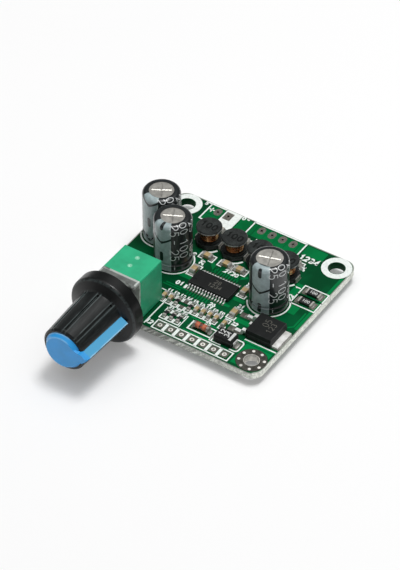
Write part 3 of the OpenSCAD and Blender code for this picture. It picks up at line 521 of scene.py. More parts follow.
def package_moulding(look, node):
    """Black moulding of one package: grainy, with painted highlights at its edges and along the parting
    line.

    The parting line goes round the body a little above half its height; only its sides show it.
    """
    f, flow, grain, black = plastic(node + "_moulding", look.mould, spread=0.2, grain_scale=6, rough=0.38,
                                    specular_ior_level=0.2)
    low, high = box_mm(node)
    _, _, z = f.axes()
    edge = near_edges(f, low, high, 0.3).rise(0.1, 0.8) * flow.rise(0.3, 0.6)
    parting = 1 - abs(z - (low[2] * 0.45 + high[2] * 0.55)).rise(0.03, 0.09)
    # Painted highlight: the edges and the parting line lighten.
    f.set(base_color=f.blend(edge.most(parting) * 0.7, black, tone(look.mould, 7)))
    return f.bump(grain, 0.03, 0.6)


def round_knob(f):
    """Coordinates of the knob: across, along and up from its axis, and the distance from it."""
    axis = middle("pot_shaft")
    x, y, z = f.axes()
    across, up = x - axis[0], z - axis[2]
    return across, y, up, distance(across, up)


def knob_plastic(look):
    """Black plastic of the knob: satin, fine scuffs along the grip, painted highlights along its grooves'
    edges and the brim's front edge, and painted light and shade: the grip lighter, the skirt darker.

    The angle round the knob's axis, taken over one land and counted from the nearest groove, times
    the radius gives the distance from the groove's middle; the painted highlight lies half a groove's
    width off.
    """
    f = Finish("knob_plastic", coat_weight=0.15, coat_roughness=0.14, specular_ior_level=0.25)
    land, first_groove, half_groove, highlight_off = 36, 53, 0.3, 0.08
    grip_radius, skirt_radius, brim_radius, brim_at = 4.5, 5.7, 7.45, -25.2
    across, y, up, radius = round_knob(f)
    turn = up.maths("ARCTAN2", up, across) * (180 / math.pi / land) - (first_groove / land - 0.5)
    off = abs(turn.maths("FRACT", turn) - 0.5) * radius * math.radians(land)
    # Painted highlight along both edges of each groove.
    edge_highlight = 1 - abs(off - half_groove - highlight_off).rise(0.04, 0.22)
    edge_highlight = edge_highlight * radius.rise(skirt_radius, skirt_radius - 0.2) * radius.rise(grip_radius, grip_radius + 0.2)
    # Painted highlight along the brim's front edge.
    brim_highlight = 1 - abs(radius - brim_radius).most(abs(y - brim_at)).rise(0.1, 0.3)
    grain, scuff = f.noise(6.5, 3), f.noise(2.2, 4, (1, 0.12, 1))
    # Painted light and shade on one black plastic: the grip is toned lighter, the skirt beyond it darker.
    black = f.shade(scuff.rise(0.45, 0.75), look.knob, 1.2, 3)
    black = f.blend(radius.rise(skirt_radius, skirt_radius + 0.2), black, tone(look.knob, 0.45))
    painted_highlight = edge_highlight.most(brim_highlight * 0.5) * scuff.rise(0.25, 0.6)
    f.set(base_color=f.blend(painted_highlight, black, tone(look.knob, 13)),
          roughness=grain * 0.12 + scuff * 0.1 + 0.26)
    return f.bump(grain * 0.6 + scuff * 0.4, 0.02, 0.5)


def pointer_plastic(look):
    """Coloured plastic of the insert: painted paler on its ridge, which is lit from above, with painted
    highlights on the rim, bevel and spine.

    The rim and the bevel are known by the distance from the knob's axis, the spine by the distance
    from the plane through that axis at the pointer's angle.
    """
    f, flow, grain, blue = plastic("pointer_plastic", look.pointer, spread=0.06, grain_scale=7, rough=0.28,
                                   coat_weight=0.1, coat_roughness=0.15)
    face_radius, rim_radius, ridge_back, angle = 3.5, 4.15, 1.2, math.radians(8)
    pale, lit_ridge_blue = linear(166, 210, 236), linear(70, 162, 208)
    across, y, up, radius = round_knob(f)
    deep = y - box_mm("knob_pointer")[0][1]
    ridge = deep.rise(ridge_back - 0.2, ridge_back + 0.2)
    aside = abs(up * math.cos(angle) - across * math.sin(angle))
    spine = (1 - aside.rise(0.06, 0.2)) * radius.rise(rim_radius, rim_radius + 0.4)
    away = (across * math.cos(angle) + up * math.sin(angle)).rise(2.6, 1.6)
    bevel = (1 - abs(radius - face_radius).rise(0.05, 0.22)) * (1 - deep.rise(0.1, 0.4))
    rim = radius.rise(rim_radius - 0.22, rim_radius - 0.06) * (1 - ridge)
    # Painted highlights on the spine, the bevel and the rim.
    painted_highlight = (spine * ridge * 0.7).most(away * (bevel * 0.35).most(rim * 0.5))
    # Painted light: the ridge takes a paler blue, as lit from above.
    blue = f.blend(ridge, blue, lit_ridge_blue)
    f.set(base_color=f.blend(painted_highlight * flow.rise(0.2, 0.5), blue, pale))
    return f.bump(grain, 0.012, 0.6)


def ferrite_grain(look):
    """Pressed ferrite: dark grey with a powdery, pitted skin, and a painted highlight along the upper
    flange's rim.

    The rim is where the distance to the nearest core's axis is almost the flange's radius.
    """
    f = Finish("ferrite_grain", specular_ior_level=0.25, coat_weight=0.12, coat_roughness=0.2)
    powder, cloud = f.noise(6, 4), f.noise(0.9, 2)
    pits = f.node("ShaderNodeTexVoronoi", None, {"Vector": f.place(), "Scale": 3.0})
    x, y, z = f.axes()
    near = distance(x - COIL_AT[0][0], y - COIL_AT[0][1])
    for at in COIL_AT[1:]:
        near = near.least(distance(x - at[0], y - at[1]))
    flange_middle = box_mm("inductor_1_core")[1][2] - 0.5
    rim = near.rise(2.56, 2.66) * (1 - abs(z - flange_middle).rise(0.2, 0.35))
    dark = f.shade((powder * 0.6 + cloud * 0.4).rise(0.38, 0.66), look.ferrite, 0.45, 2)
    # Painted highlight: the rim turns pale grey.
    f.set(base_color=f.blend(rim * cloud.rise(0.3, 0.6), dark, linear(190, 192, 192)),
          roughness=powder * 0.25 + 0.38)
    return f.bump(powder * 0.6 + pits * 0.4, 0.03, 0.6)


def enamelled_wire(look):
    """Copper wire under clear brown enamel: fine turns, darker between them as painted shade, with upright
    bands of painted highlight.
    """
    f = Finish("enamelled_wire", metallic=0.9, coat_weight=0.5, coat_roughness=0.1)
    wire_thick, glint = 0.2, linear(240, 204, 150)
    _, _, z = f.axes()
    turn = (z * (2 * math.pi / wire_thick)).sine() * 0.5 + 0.5
    patch = f.noise(1.2, 2, (1, 1, 0.1))
    # Painted shade between the turns; the upright bands set off by patch below are painted highlights.
    brown = f.shade(turn * 0.4 + patch * 0.4, look.copper, 0.25, 1.3)
    f.set(base_color=f.blend(patch.rise(0.52, 0.68), brown, glint), roughness=patch * 0.2 + 0.14)
    return f.bump(turn, 0.03, 0.6)


def diode_body(look):
    """Orange glass: a pale glassy sleeve with the dark pellet and its two studs inside."""
    f = Finish("diode_body", coat_weight=1.0, coat_roughness=0.03)
    x, _, _ = f.axes()
    off = abs(x - middle("diode_glass")[0])
    swirl = f.noise(2, 2)
    glow = f.shade(off.rise(0.28, 0.42), look.glass, 0.16, 1)
    glow = f.blend(off.rise(0.8, 1.15) * 0.7, glow, tone(look.glass, 0.3))
    f.set(base_color=f.blend(swirl.rise(0.45, 0.7) * 0.5, glow, tone(look.glass, 1.5)),
          roughness=swirl * 0.1 + 0.12)
    return f.bump(swirl, 0.01, 0.3)


# Surfaces

def refine(path, step):
    """The same path with more points on it, no further apart than step along its length."""
    along = np.concatenate([[0], np.cumsum(np.linalg.norm(np.diff(path, axis=0), axis=1))])
    spots = np.unique(np.concatenate([along, np.arange(0, along[-1], step)]).round(6))
    return np.column_stack([np.interp(spots, along, path[:, k]) for k in range(2)])


def arc(centre, radius, start, end, count=32):
    """Points on a circle or an ellipse, from one angle to the other, in degrees."""
    turn = np.radians(np.linspace(start, end, count))
    across, up = np.broadcast_to(radius, 2)
    return np.column_stack([centre[0] + across * np.cos(turn), centre[1] + up * np.sin(turn)])


def ring(centre, radius, count=64):
    """Points evenly round a circle, without repeating the first."""
    return arc(centre, radius, 0, 360 * (1 - 1 / count), count)


def rectangle(x0, x1, y0, y1):
    """Corners of a rectangle, anticlockwise."""
    return np.array([(x0, y0), (x1, y0), (x1, y1), (x0, y1)], float)


def rounded(x0, x1, y0, y1, r, count=6):
    """Outline of a rectangle with round corners, anticlockwise."""
    corners = ((x1 - r, y1 - r, 0), (x0 + r, y1 - r, 90), (x0 + r, y0 + r, 180), (x1 - r, y0 + r, 270))
    return np.vstack([arc((x, y), r, a, a + 90, count) for x, y, a in corners])


def turned(points, place):
    """Points laid at a place: turned by its quarter turns round the origin, then moved to its x, y."""
    at_x, at_y, quarters = place
    x, y = np.asarray(points, float).T
    x, y = ((x, y), (-y, x), (-x, -y), (y, -x))[quarters % 4]
    return np.column_stack([x + at_x, y + at_y])


def on_board(flat):
    """Lays flat points (x, y, lift) on the board's top face."""
    return flat + np.array([0, 0, TOP])


class Shape:
    """Points in millimetres and the faces between them, gathered into one closed mesh."""

    def __init__(self, surface=on_board):
        self.surface = surface
        self.points = []
        self.faces = []
        self.count = 0

    def sweep(self, grid, loop=False):
        """A section carried along a path: rows of the grid are sections, closed round.

        Each face joins neighbours in one section to the same two in the next. An open sweep is
        closed by its first and last section, a loop by joining the last section to the first.
        """
        rows, columns = grid.shape[:2]
        index = self.count + np.arange(rows * columns).reshape(rows, columns)
        ahead = np.roll(index, -1, axis=0)
        quads = np.stack([index, np.roll(index, -1, axis=1), np.roll(ahead, -1, axis=1), ahead], axis=-1)
        quads = quads if loop else quads[:-1]
        self.points.append(self.surface(grid.reshape(-1, 3)))
        self.faces += quads.reshape(-1, 4).tolist()
        if not loop:
            self.faces += [index[0, ::-1].tolist(), index[-1].tolist()]
        self.count += rows * columns

    def ribbon(self, path, width, high, low=SUNK, closed=False):
        """A flat band: a rectangle, width wide and from low to high, carried along a path.

        At each point the two edges lie half the width to either side, along the mean of the
        neighbouring segments' normals and lengthened by one over the cosine of half the turn.
        At sharp turns that cosine counts as no less than a limit.
        """
        sharpest = 0.35
        path = np.asarray(path, float)
        keep = np.ones(len(path), bool)
        keep[1:] = np.linalg.norm(np.diff(path, axis=0), axis=1) > 1e-6
        path = path[keep]
        step = np.diff(np.vstack([path, path[:1]]), axis=0)
        step = step if closed else step[:-1]
        step = step / np.linalg.norm(step, axis=1, keepdims=True)
        after = step if closed else np.vstack([step, step[-1:]])
        before = np.roll(step, 1, axis=0) if closed else np.vstack([step[:1], step])
        mean = before + after
        mean = mean / np.maximum(np.linalg.norm(mean, axis=1, keepdims=True), 1e-6)
        reach = width / 2 / np.maximum((mean * after).sum(axis=1), sharpest)
        side = np.column_stack([-mean[:, 1], mean[:, 0]]) * reach[:, None]
        edges = np.stack([path + side, path - side, path - side, path + side], axis=1)
        lift = np.broadcast_to(np.array([high, high, low, low])[:, None], (len(path), 4, 1))
        self.sweep(np.concatenate([edges, lift], axis=2), closed)

    def plate(self, outline, high, low=SUNK):
        """A flat piece: its outline at the lower height carried up to the higher one."""
        outline = np.asarray(outline, float)
        x, y = outline.T
        if (x * np.roll(y, -1) - y * np.roll(x, -1)).sum() < 0:
            outline = outline[::-1]
        lift = np.array([low, high])
        grid = np.concatenate([np.broadcast_to(outline, (2, *outline.shape)),
                               np.broadcast_to(lift[:, None, None], (2, len(outline), 1))], axis=2)
        self.sweep(grid)

    def patch(self, u, v, high, low=SUNK):
        """A thin curved piece: the grid (u, v) at the higher lift, and back along the lower."""
        top = np.stack([u, v, np.full_like(u, high)], axis=-1)
        under = np.stack([u, v, np.full_like(u, low)], axis=-1)[:, ::-1]
        self.sweep(np.concatenate([top, under], axis=1))

    def around(self, at, reach, radii, lifts, spread=None):
        """A closed section carried round a hole.

        radii are the section's distances from the hole's centre, None standing for the pad's
        edge, which reach gives at each angle; lifts are the heights that go with them. spread,
        if given, lays the flat points in another way.
        """
        rule, corners = reach
        step = 9.0
        turn = np.radians(np.unique(np.concatenate([np.arange(0, 360, step), corners]).round(4)))
        edge = rule(turn)
        radial = np.stack([edge if r is None else np.full_like(turn, r) for r in radii], axis=1)
        flat = radial[..., None] * np.column_stack([np.cos(turn), np.sin(turn)])[:, None]
        flat = spread(flat) if spread else flat + np.asarray(at, float)
        lift = np.broadcast_to(np.array(lifts)[:, None], (*radial.shape, 1))
        self.sweep(np.concatenate([flat, lift], axis=2), True)

    def eyelet(self, at, hole, reach, thick, spread=None):
        """A plated hole: a closed section carried round the hole.

        The section runs out along the upper pad, down into the board, back to the barrel, down
        it, and the same way round the lower pad.
        """
        wall = hole + 0.12
        upper = (thick, thick, SUNK, SUNK)
        self.around(at, reach, (hole, None, None, wall, wall, None, None, hole),
                    (*upper, *(-TOP - lift for lift in reversed(upper))), spread)

    def collar(self, at, hole, reach, high, low=SUNK):
        """A flat piece with a round hole: a rectangle from the hole to the edge, carried round it."""
        self.around(at, reach, (hole, None, None, hole), (high, high, low, low))

    def fillet(self, place, gap, reach, width, height):
        """Solder that has climbed a part's end: a hollow profile carried across the part.

        The profile falls with the square of the distance left to the pad's outer edge and stands
        on the pad. Across the part it sags with the square of the distance from the middle.
        """
        pad, bite, sag, rows = 0.06, 0.05, 0.35, 5
        out = np.linspace(0, 1, 7)
        curve = np.column_stack([gap + reach * out, height * (1 - out) ** 2 + pad])
        profile = np.vstack([[(gap - bite, SUNK), (gap - bite, height + pad)], curve[1:],
                             [(gap + reach, SUNK)]])
        across = np.linspace(-0.5, 0.5, rows)
        bulge = 1 - sag * (2 * across[:, None]) ** 2 * (profile[None, :, 0] > gap)
        x = np.broadcast_to(profile[:, 0], (rows, len(profile)))
        y = np.broadcast_to((across * width)[:, None], x.shape)
        z = profile[None, :, 1] * np.where(profile[None, :, 1] > 0, bulge, 1)
        flat = turned(np.column_stack([x.ravel(), y.ravel()]), place).reshape(rows, -1, 2)
        self.sweep(np.concatenate([flat, z[..., None]], axis=2))

    def text(self, words, height, weight, place, high, low=SUNK):
        """Numbers drawn at a place with a pen of the given weight."""
        for path, closed in number_strokes(words, height):
            self.ribbon(turned(path, place), weight, high, low, closed)

    def piece(self, name, material):
        """Makes the mesh an object that rides on the board."""
        mesh = bpy.data.meshes.new(name)
        mesh.from_pydata(np.vstack(self.points) * MM, [], self.faces)
        mesh.validate()
        mesh.shade_smooth()
        mesh.set_sharp_from_angle(angle=math.radians(35))
        mesh.materials.append(material)
        made = bpy.data.objects.new(name, mesh)
        bpy.context.scene.collection.objects.link(made)
        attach(made, "board")


# Pad edges: a rule that gives the distance from the hole's centre at each angle, and its corners

def round_reach(radius):
    """A round pad: the same distance at every angle."""
    return lambda turn: np.full_like(turn, radius), []


def square_reach(right, top, bottom=None):
    """A rectangular pad: at each angle the nearer of its upright and its level edge."""
    low = top if bottom is None else bottom

    def rule(turn):
        across, up = np.cos(turn), np.sin(turn)
        level = np.where(up > 0, top, low) / np.maximum(abs(up), 1e-9)
        return np.minimum(right / np.maximum(abs(across), 1e-9), level)

    return rule, [math.degrees(math.atan2(y, x)) % 360 for x in (right, -right) for y in (top, -low)]


def oval_reach(half_width, half_length):
    """An oval pad: straight sides, then the far end's half circle."""
    centre = half_length - half_width

    def rule(turn):
        across, up = abs(np.cos(turn)), abs(np.sin(turn))
        side = half_width / np.maximum(across, 1e-9)
        inside = np.maximum(half_width ** 2 - (centre * across) ** 2, 0)
        return np.where(side * up <= centre, side, centre * up + np.sqrt(inside))

    return rule, []


# A pair is a point; six numbers are an arc: centre, radii, first and last angle
NUMBERS = {
    "0": [[(0.3, 0.5, 0.3, 0.5, 0, 360)]],
    "1": [[(0.12, 0.78), (0.36, 1), (0.36, 0)]],
    "2": [[(0.3, 0.7, 0.3, 0.3, 165, -35), (0, 0), (0.6, 0)]],
    "3": [[(0.29, 0.75, 0.27, 0.25, 150, -80), (0.29, 0.26, 0.31, 0.26, 80, -150)]],
    "4": [[(0.45, 0), (0.45, 1), (0, 0.3), (0.62, 0.3)]],
    "5": [[(0.55, 1), (0.1, 1), (0.06, 0.55), (0.28, 0.31, 0.31, 0.31, 125, -145)]],
    "6": [[(0.3, 0.3, 0.3, 0.3, 0, 360)], [(0.02, 0.38), (0.5, 0.3, 0.48, 0.7, 165, 95)]],
    "7": [[(0, 1), (0.6, 1), (0.2, 0)]],
    "8": [[(0.3, 0.74, 0.24, 0.26, 0, 360)], [(0.3, 0.24, 0.3, 0.24, 0, 360)]],
    "9": [[(0.3, 0.7, 0.3, 0.3, 0, 360)], [(0.58, 0.62), (0.1, 0.7, 0.48, 0.7, -15, -85)]],
    "+": [[(0, 0.5), (0.7, 0.5)], [(0.35, 0.15), (0.35, 0.85)]],
    "-": [[(0, 0.5), (0.6, 0.5)]],
}


def number_strokes(words, height):
    """Pen strokes of a row of numbers, centred on the origin: pairs of path and closed."""
    advance, gap, count = 0.9, 0.3, 24
    shift = np.array([(len(words) * advance - gap) / 2, 0.5])
    strokes = []
    for place, sign in enumerate(words):
        for stroke in NUMBERS.get(sign, ()):
            closed = len(stroke[0]) == 6 and stroke[0][5] - stroke[0][4] == 360
            last = 360 / count if closed else 0
            parts = [arc(s[:2], s[2:4], s[4], s[5] - last, count) if len(s) == 6
                     else np.array([s], float) for s in stroke]
            path = (np.vstack(parts) + (place * advance, 0) - shift) * height
            strokes.append((path, closed))
    return strokes


def dress(material, *nodes):
    """Gives solids a finish."""
    for name in nodes:
        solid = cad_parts[name]
        if not solid.material_slots:
            solid.data.materials.append(material)
        for slot in solid.material_slots:
            slot.material = material


# Operators, one for each piece or group of like pieces, and the tables that they lay out

# Colour of the leads and pins
LEAD_TIN = linear(196, 194, 188)


class AMP_OT_board(bpy.types.Operator):
    """Finish the bare board with lacquer and show the laminate at its edges"""
    bl_idname = "amplifier.board"
    bl_label = "Board"

    def execute(self, context):
        dress(solder_mask(context.scene.amp_board), "circuit_board")
        return {"FINISHED"}


# Copper areas under the lacquer: left, right, front and back edges
COPPER_AREAS = (
    (13.9, 20.9, -12.4, -11.95), (9.9, 14.7, 15.95, 18.75), (-13.6, -10.3, 13.9, 15.95),
    (-13.6, -12.55, 16.05, 18.75), (-6.1, -3.5, 14.2, 18.75), (-3.0, -2.0, 14.9, 18.6),
    (8.35, 9.2, 14.9, 18.6), (7.6, 12.6, -8.5, -7.3), (-8.1, -4.4, -3.3, -2.2),
    (5.6, 8.2, -3.4, -2.4), (16.3, 18.3, -0.6, 1.9), (14.0, 15.6, 2.4, 8.0),
    (4.4, 6.3, -5.9, -5.2), (9.3, 13.4, -4.4, -3.9))
# Copper area beside the earth ring; its last side goes round the ring
EARTH_AREA = [(20.9, -12.6), (14.9, -12.6), (14.9, -18.7), (16.3, -18.7)]
# Tracks away from the chip: points and width
TRACKS = (
    ([(-3.8, 3.7), (-1.9, 1.6)], 0.85), ([(2.9, 2.0), (4.8, 3.7)], 0.7),
    ([(20.1, 1.2), (20.1, -3.5), (19.2, -4.3)], 0.35), ([(20.85, 14.0), (20.85, -4.0)], 0.7),
    ([(-8.5, -6.2), (-3.0, -6.2)], 0.3), ([(-8.9, -6.8), (-4.6, -6.8)], 0.3),
    ([(2.0, -16.05), (8.3, -16.05)], 0.35), ([(1.5, -12.2), (7.9, -12.2)], 0.35),
    ([(-20.6, 9.5), (-20.6, 13.2)], 0.8))
# Tracks at the chip's leads: first lead from the middle, count, start, end, width
LEAD_TRACKS = ((-4.5, 10, 1.2, 2.9, 0.26), (-5.5, 8, -5.9, -7.3, 0.24))


class AMP_OT_tracks(bpy.types.Operator):
    """Add the copper areas and tracks that show through the lacquer"""
    bl_idname = "amplifier.tracks"
    bl_label = "Tracks"

    def execute(self, context):
        look = context.scene.amp_board
        high = look.track_height / MM
        made = Shape()
        for area in COPPER_AREAS:
            made.plate(rounded(*area, 0.18), high)
        earth_clear = 3.25
        made.plate(np.vstack([EARTH_AREA, arc(EARTH, earth_clear, 233, 35.4, 40)]), high)
        for at in SPEAKER:
            made.collar(at, WIRE_CLEAR, square_reach(1.24, 1.2, 2.5), high)
        made.collar(SUPPLY[0], WIRE_CLEAR, square_reach(1.1, 1.35, 1.4), high)
        for first, count, start, end, width in LEAD_TRACKS:
            for x in CHIP_AT[0] + (first + np.arange(count)) * CHIP_PITCH:
                made.ribbon([(x, start), (x, end)], width, high)
        for path, width in TRACKS:
            made.ribbon(path, width, high)
        made.piece("board_tracks", lacquered_copper(look))
        return {"FINISHED"}


# Printed brackets round chip parts: places, half length, half width, half gap, pen
BRACKETS = ((LARGE_CERAMICS, 1.7, 0.92, 0.7, 0.2),
            (LONG_ROW + SMALL_CERAMICS[-1:], 1.55, 0.62, 0.5, 0.18),
            (SHORT_ROW, 1.6, 0.64, 0.5, 0.2))
# Printed frames: left, right, front and back edges, pen
FRAMES = ((-3.5, 14.25, -18.95, -16.45, 0.22), (2.6, 8.0, -15.3, -12.9, 0.24),
          (15.7, 21.25, 5.25, 8.15, 0.22), (15.7, 21.25, 2.25, 5.25, 0.22))
# Printed lines: points and pen
LINES = (
    ([(-3.2, 14.95), (-3.2, 19.2)], 0.24), ([(9.4, 14.95), (9.4, 19.2)], 0.24),
    ([(-3.2, 19.03), (9.4, 19.03)], 0.3), ([(-14.7, 19.03), (-10.2, 19.03)], 0.28),
    ([(-13.8, 19.0), (-13.8, 13.85), (-12.8, 13.85)], 0.24),
    ([(-5.4, -18.8), (-5.4, -11.55)], 0.22), ([(8.1, -15.85), (8.1, -12.9)], 0.18),
    ([(8.5, -12.9), (8.5, -15.85), (10.8, -15.85)], 0.2),
    ([(13.9, -11.78), (21.2, -11.78)], 0.24),
    (np.vstack([[(12.8, -12.75)], arc((13.9, -13.45), 0.7, 90, 0, 8),
                arc((13.9, -15.15), 0.7, 0, -90, 8), [(12.8, -15.85)]]), 0.24),
    ([(-4.4, -5.9), (-4.4, -4.75)], 0.42), ([(-8.4, -8.45), (6.8, -8.45)], 0.16),
    ([(-4.1, -12.5), (1.0, -12.5), (1.0, -16.0)], 0.16),
    ([(8.85, 12.05), (8.85, 14.6), (7.6, 14.6)], 0.24), ([(-0.2, 14.55), (1.6, 14.55)], 0.24))
# White blocks round the negative supply hole: left, right, front and back edges
BLOCKS = ((-10.1, -7.62, 13.3, 15.6), (-7.62, -6.35, 13.3, 19.2))
# Printed numbers: words, height, pen, x, y, quarter turns
LABELS = [
    ("+", 1.9, 0.22, -13.0, 17.4, 0), ("-", 1.0, 0.26, -4.8, 18.8, 0), ("0", 0.9, 0.24, -5.8, 18.75, 0),
    ("1234", 1.3, 0.3, 12.3, 15.1, 0), ("12", 0.95, 0.24, -4.75, -17.85, 0),
    ("01", 0.95, 0.24, -5.95, -5.15, 0), ("1", 0.95, 0.24, 14.9, 6.75, 1),
    ("2", 0.95, 0.24, 14.9, 3.95, 1), ("26", 0.8, 0.22, 3.1, -6.95, 0), ("27", 0.85, 0.22, 0.3, 3.0, 0),
    ("28", 0.85, 0.22, 2.1, 3.0, 0), ("9", 0.9, 0.24, -8.3, 3.75, 0), ("29", 0.85, 0.22, -5.6, 2.55, 1),
    ("30", 0.85, 0.22, 6.2, 2.05, 1), ("31", 0.8, 0.22, 8.2, -4.3, 0), ("32", 0.8, 0.22, 9.9, -9.25, 0),
    ("33", 0.75, 0.2, 5.4, -12.25, 0), ("34", 0.9, 0.24, 12.6, 12.2, 1), ("5", 0.8, 0.22, -14.9, 18.6, 0)]
LABELS += [(str(11 + i), 0.72, 0.2, place[0], -8.05, 0) for i, place in enumerate(LONG_ROW)]
LABELS += [(str(21 + i), 0.66, 0.19, place[0], -12.05, 0) for i, place in enumerate(SHORT_ROW)]


class AMP_OT_ink(bpy.types.Operator):
    """Print the white lines, rings and numbers on the board"""
    bl_idname = "amplifier.ink"
    bl_label = "Printed lines"

    def execute(self, context):
        look = context.scene.amp_board
        high = look.ink_height / MM
        bold = look.pen
        made = Shape()
        mount_radius, mount_width, can_radius, coil_radius = 2.525, 1.35, 4.36, 3.3
        for at in MOUNTS:
            made.ribbon(ring(at, mount_radius), mount_width, high, closed=True)
        for n in CAPS:
            at = middle(f"capacitor_{n}_sleeve")
            made.ribbon(arc(at, can_radius, -155, 155, 64), 0.25 * bold, high)
        for at in COIL_AT:
            made.ribbon(arc(at, coil_radius, -80, -26, 16), 0.34 * bold, high)
        for places, half, width, gap, pen in BRACKETS:
            path = np.array([(gap, width), (half, width), (half, -width), (gap, -width)])
            for place in places:
                made.ribbon(turned(path, place), pen * bold, high)
                made.ribbon(turned(path * (-1, 1), place), pen * bold, high)
        for *edges, pen in FRAMES:
            made.ribbon(rectangle(*edges), pen * bold, high, closed=True)
        for x, y in HEADER[:-1]:
            between = x + HEADER_PITCH / 2
            made.ribbon([(between, y - 1.3), (between, y + 1.15)], 0.68, high)
        for path, pen in LINES:
            made.ribbon(path, pen * bold, high)
        for block in BLOCKS:
            made.plate(rectangle(*block), high)
        made.collar(SUPPLY[1], WIRE_CLEAR, square_reach(1.24, 1.8), high)
        for words, size, pen, *place in LABELS:
            made.text(words, size, pen * bold, place, high)
        made.piece("board_ink", board_ink(look))
        return {"FINISHED"}


# Pairs of pads under chip parts: places, near end, far end, half width
PAD_PAIRS = ((LARGE_CERAMICS, 0.55, 1.5, 0.72),
             (SMALL_CERAMICS + SMALL_RESISTORS + [BARE_PLACE], 0.42, 1.25, 0.46),
             (LARGE_RESISTORS, 1.05, 2.35, 0.95))
# Pads of the tab package, the rectifier and the glass diode: left, right, front and back edges
SINGLE_PADS = ((9.4, 12.4, -6.7, -5.4), (9.4, 12.4, -11.3, -10.0), (17.0, 21.3, -11.1, -5.6),
               (12.4, 14.25, -15.25, -13.3), (8.75, 9.9, -15.3, -13.4),
               (3.05, 4.2, -14.85, -13.35), (6.4, 7.55, -14.85, -13.35))
# Angles of the eight small holes round the earth hole, and their distance from its middle
EARTH_TURNS = np.radians(np.arange(8) * 45 + 22.5)
EARTH_RADIUS = 2.55
# Radii of the earth hole and of the small holes inside their plating
EARTH_HOLE = 1.66
SMALL_HOLE = 0.24
# How far the wire holes' plating stands above the other pads, to clear the ink
PROUD = 0.03


def earth_bend(start):
    """A way to lay a strip round the earth hole: across becomes angle, up becomes radius."""
    def lay(flat):
        angle = start - flat[..., 0] / EARTH_RADIUS
        radius = EARTH_RADIUS + flat[..., 1]
        return np.stack([EARTH[0] + radius * np.cos(angle), EARTH[1] + radius * np.sin(angle)], axis=-1)

    return lay


class AMP_OT_pads(bpy.types.Operator):
    """Add the tinned pads, the plated wire holes and the earth ring"""
    bl_idname = "amplifier.pads"
    bl_label = "Tinned pads"

    def execute(self, context):
        look = context.scene.amp_board
        high = look.pad_height / MM
        made, dark, pale, lining = Shape(), Shape(), Shape(), Shape()
        self.holes(made, dark, pale, high)
        self.linings(lining, pale, high + 0.004)
        self.lands(made, pale, high)
        # Painted highlight: the plating inside the holes is a paler, less metal copy of the solder, for
        # the light its walls catch.
        bright = tinned("hole_tin", tone(look.solder, 1.4), rough=0.4, wave=1.0, depth=0.01, metal=0.15)
        lining.piece("hole_plating", bright)
        made.piece("tinned_pads", tinned("pad_tin", tone(look.tin, 1.9), rough=0.36, depth=0.03))
        pale.piece("wire_pads", tinned("wire_tin", tone(look.tin, 2.5), rough=0.36, wave=2.4, depth=0.06))
        dark.piece("earth_ring", tinned("earth_tin", look.tin, rough=0.36, depth=0.03))
        return {"FINISHED"}

    @staticmethod
    def holes(made, dark, pale, high):
        """Pads that go through the board: header, wires and the earth ring in eight sectors."""
        for at in HEADER:
            made.eyelet(at, WIRE_HOLE, square_reach(0.82, 0.82), high)
        for at in SPEAKER + SUPPLY[:1]:
            pale.eyelet(at, WIRE_HOLE, oval_reach(0.8, 1.12), high)
        pale.eyelet(SUPPLY[1], WIRE_HOLE, square_reach(0.88, 1.15), high + PROUD)
        dark.eyelet(EARTH, EARTH_HOLE, round_reach(EARTH_HOLE + 0.2), high + 0.01)
        joint = 0.004
        sector = square_reach(math.pi * EARTH_RADIUS / len(EARTH_TURNS) - joint, 0.6, 0.74)
        for start in EARTH_TURNS:
            dark.eyelet(None, SMALL_HOLE, sector, high, earth_bend(start))

    @staticmethod
    def linings(lining, pale, lip):
        """Bright plating inside the holes, from lip above the board to lip below; small ones are full."""
        edge, bottom = round_reach(WIRE_HOLE + 0.03), -TOP - lip
        for at in HEADER:
            lining.collar(at, WIRE_HOLE - 0.22, edge, lip, bottom)
        for at in SPEAKER + SUPPLY:
            pale.collar(at, WIRE_HOLE - 0.2, edge, lip + PROUD, bottom)
        lining.collar(EARTH, EARTH_HOLE - 0.06, round_reach(EARTH_HOLE + 0.01), lip, bottom)
        for turn in np.degrees(EARTH_TURNS):
            spot = arc(EARTH, EARTH_RADIUS, turn, turn, 1)[0]
            lining.plate(ring(spot, SMALL_HOLE + 0.08, 24), lip, bottom)

    @staticmethod
    def lands(made, pale, high):
        """Flat pads under the chip's leads, the chip parts, the inductors and the packages."""
        lead_reach = CHIP_AT[1] - box_mm("amplifier_chip_leads")[0][1] - 0.2
        lead_pad = rectangle(-0.17, 0.17, -0.55, 0.55)
        for x in CHIP_AT[0] + (np.arange(CHIP_LEADS) - (CHIP_LEADS - 1) / 2) * CHIP_PITCH:
            for y in (CHIP_AT[1] + lead_reach, CHIP_AT[1] - lead_reach):
                made.plate(lead_pad + (x, y), high * 0.7)
        for places, near, far, width in PAD_PAIRS:
            shape = pale if places is LARGE_RESISTORS else made
            for place in places:
                for ends in ((near, far), (-far, -near)):
                    shape.plate(turned(rounded(*ends, -width, width, 0.08, 3), place), high)
        for at in COIL_AT:
            for ends in ((1.3, 3.06), (-3.06, -1.3)):
                made.plate(rounded(*ends, -1.1, 1.1, 0.1, 3) + at, high)
        for edges in SINGLE_PADS:
            made.plate(rounded(*edges, 0.12, 4), high)


# Solder at both ends of parts: places, end face from the middle, reach, width, height
SOLDER_PAIRS = (
    (LARGE_CERAMICS, 1.0, 0.42, 1.15, 0.5), (SMALL_CERAMICS, 0.8, 0.36, 0.74, 0.42),
    (SMALL_RESISTORS, 0.8, 0.36, 0.74, 0.26), (LARGE_RESISTORS, 1.6, 0.3, 1.4, 0.26),
    ([(*middle("rectifier_body")[:2], 0)], 2.3, 0.7, 1.5, 0.7),
    ([(*middle("diode_glass")[:2], 0)], 1.75, 0.4, 1.1, 0.6),
    ([(*at, 0) for at in COIL_AT], 2.95, 0.12, 1.6, 0.45))
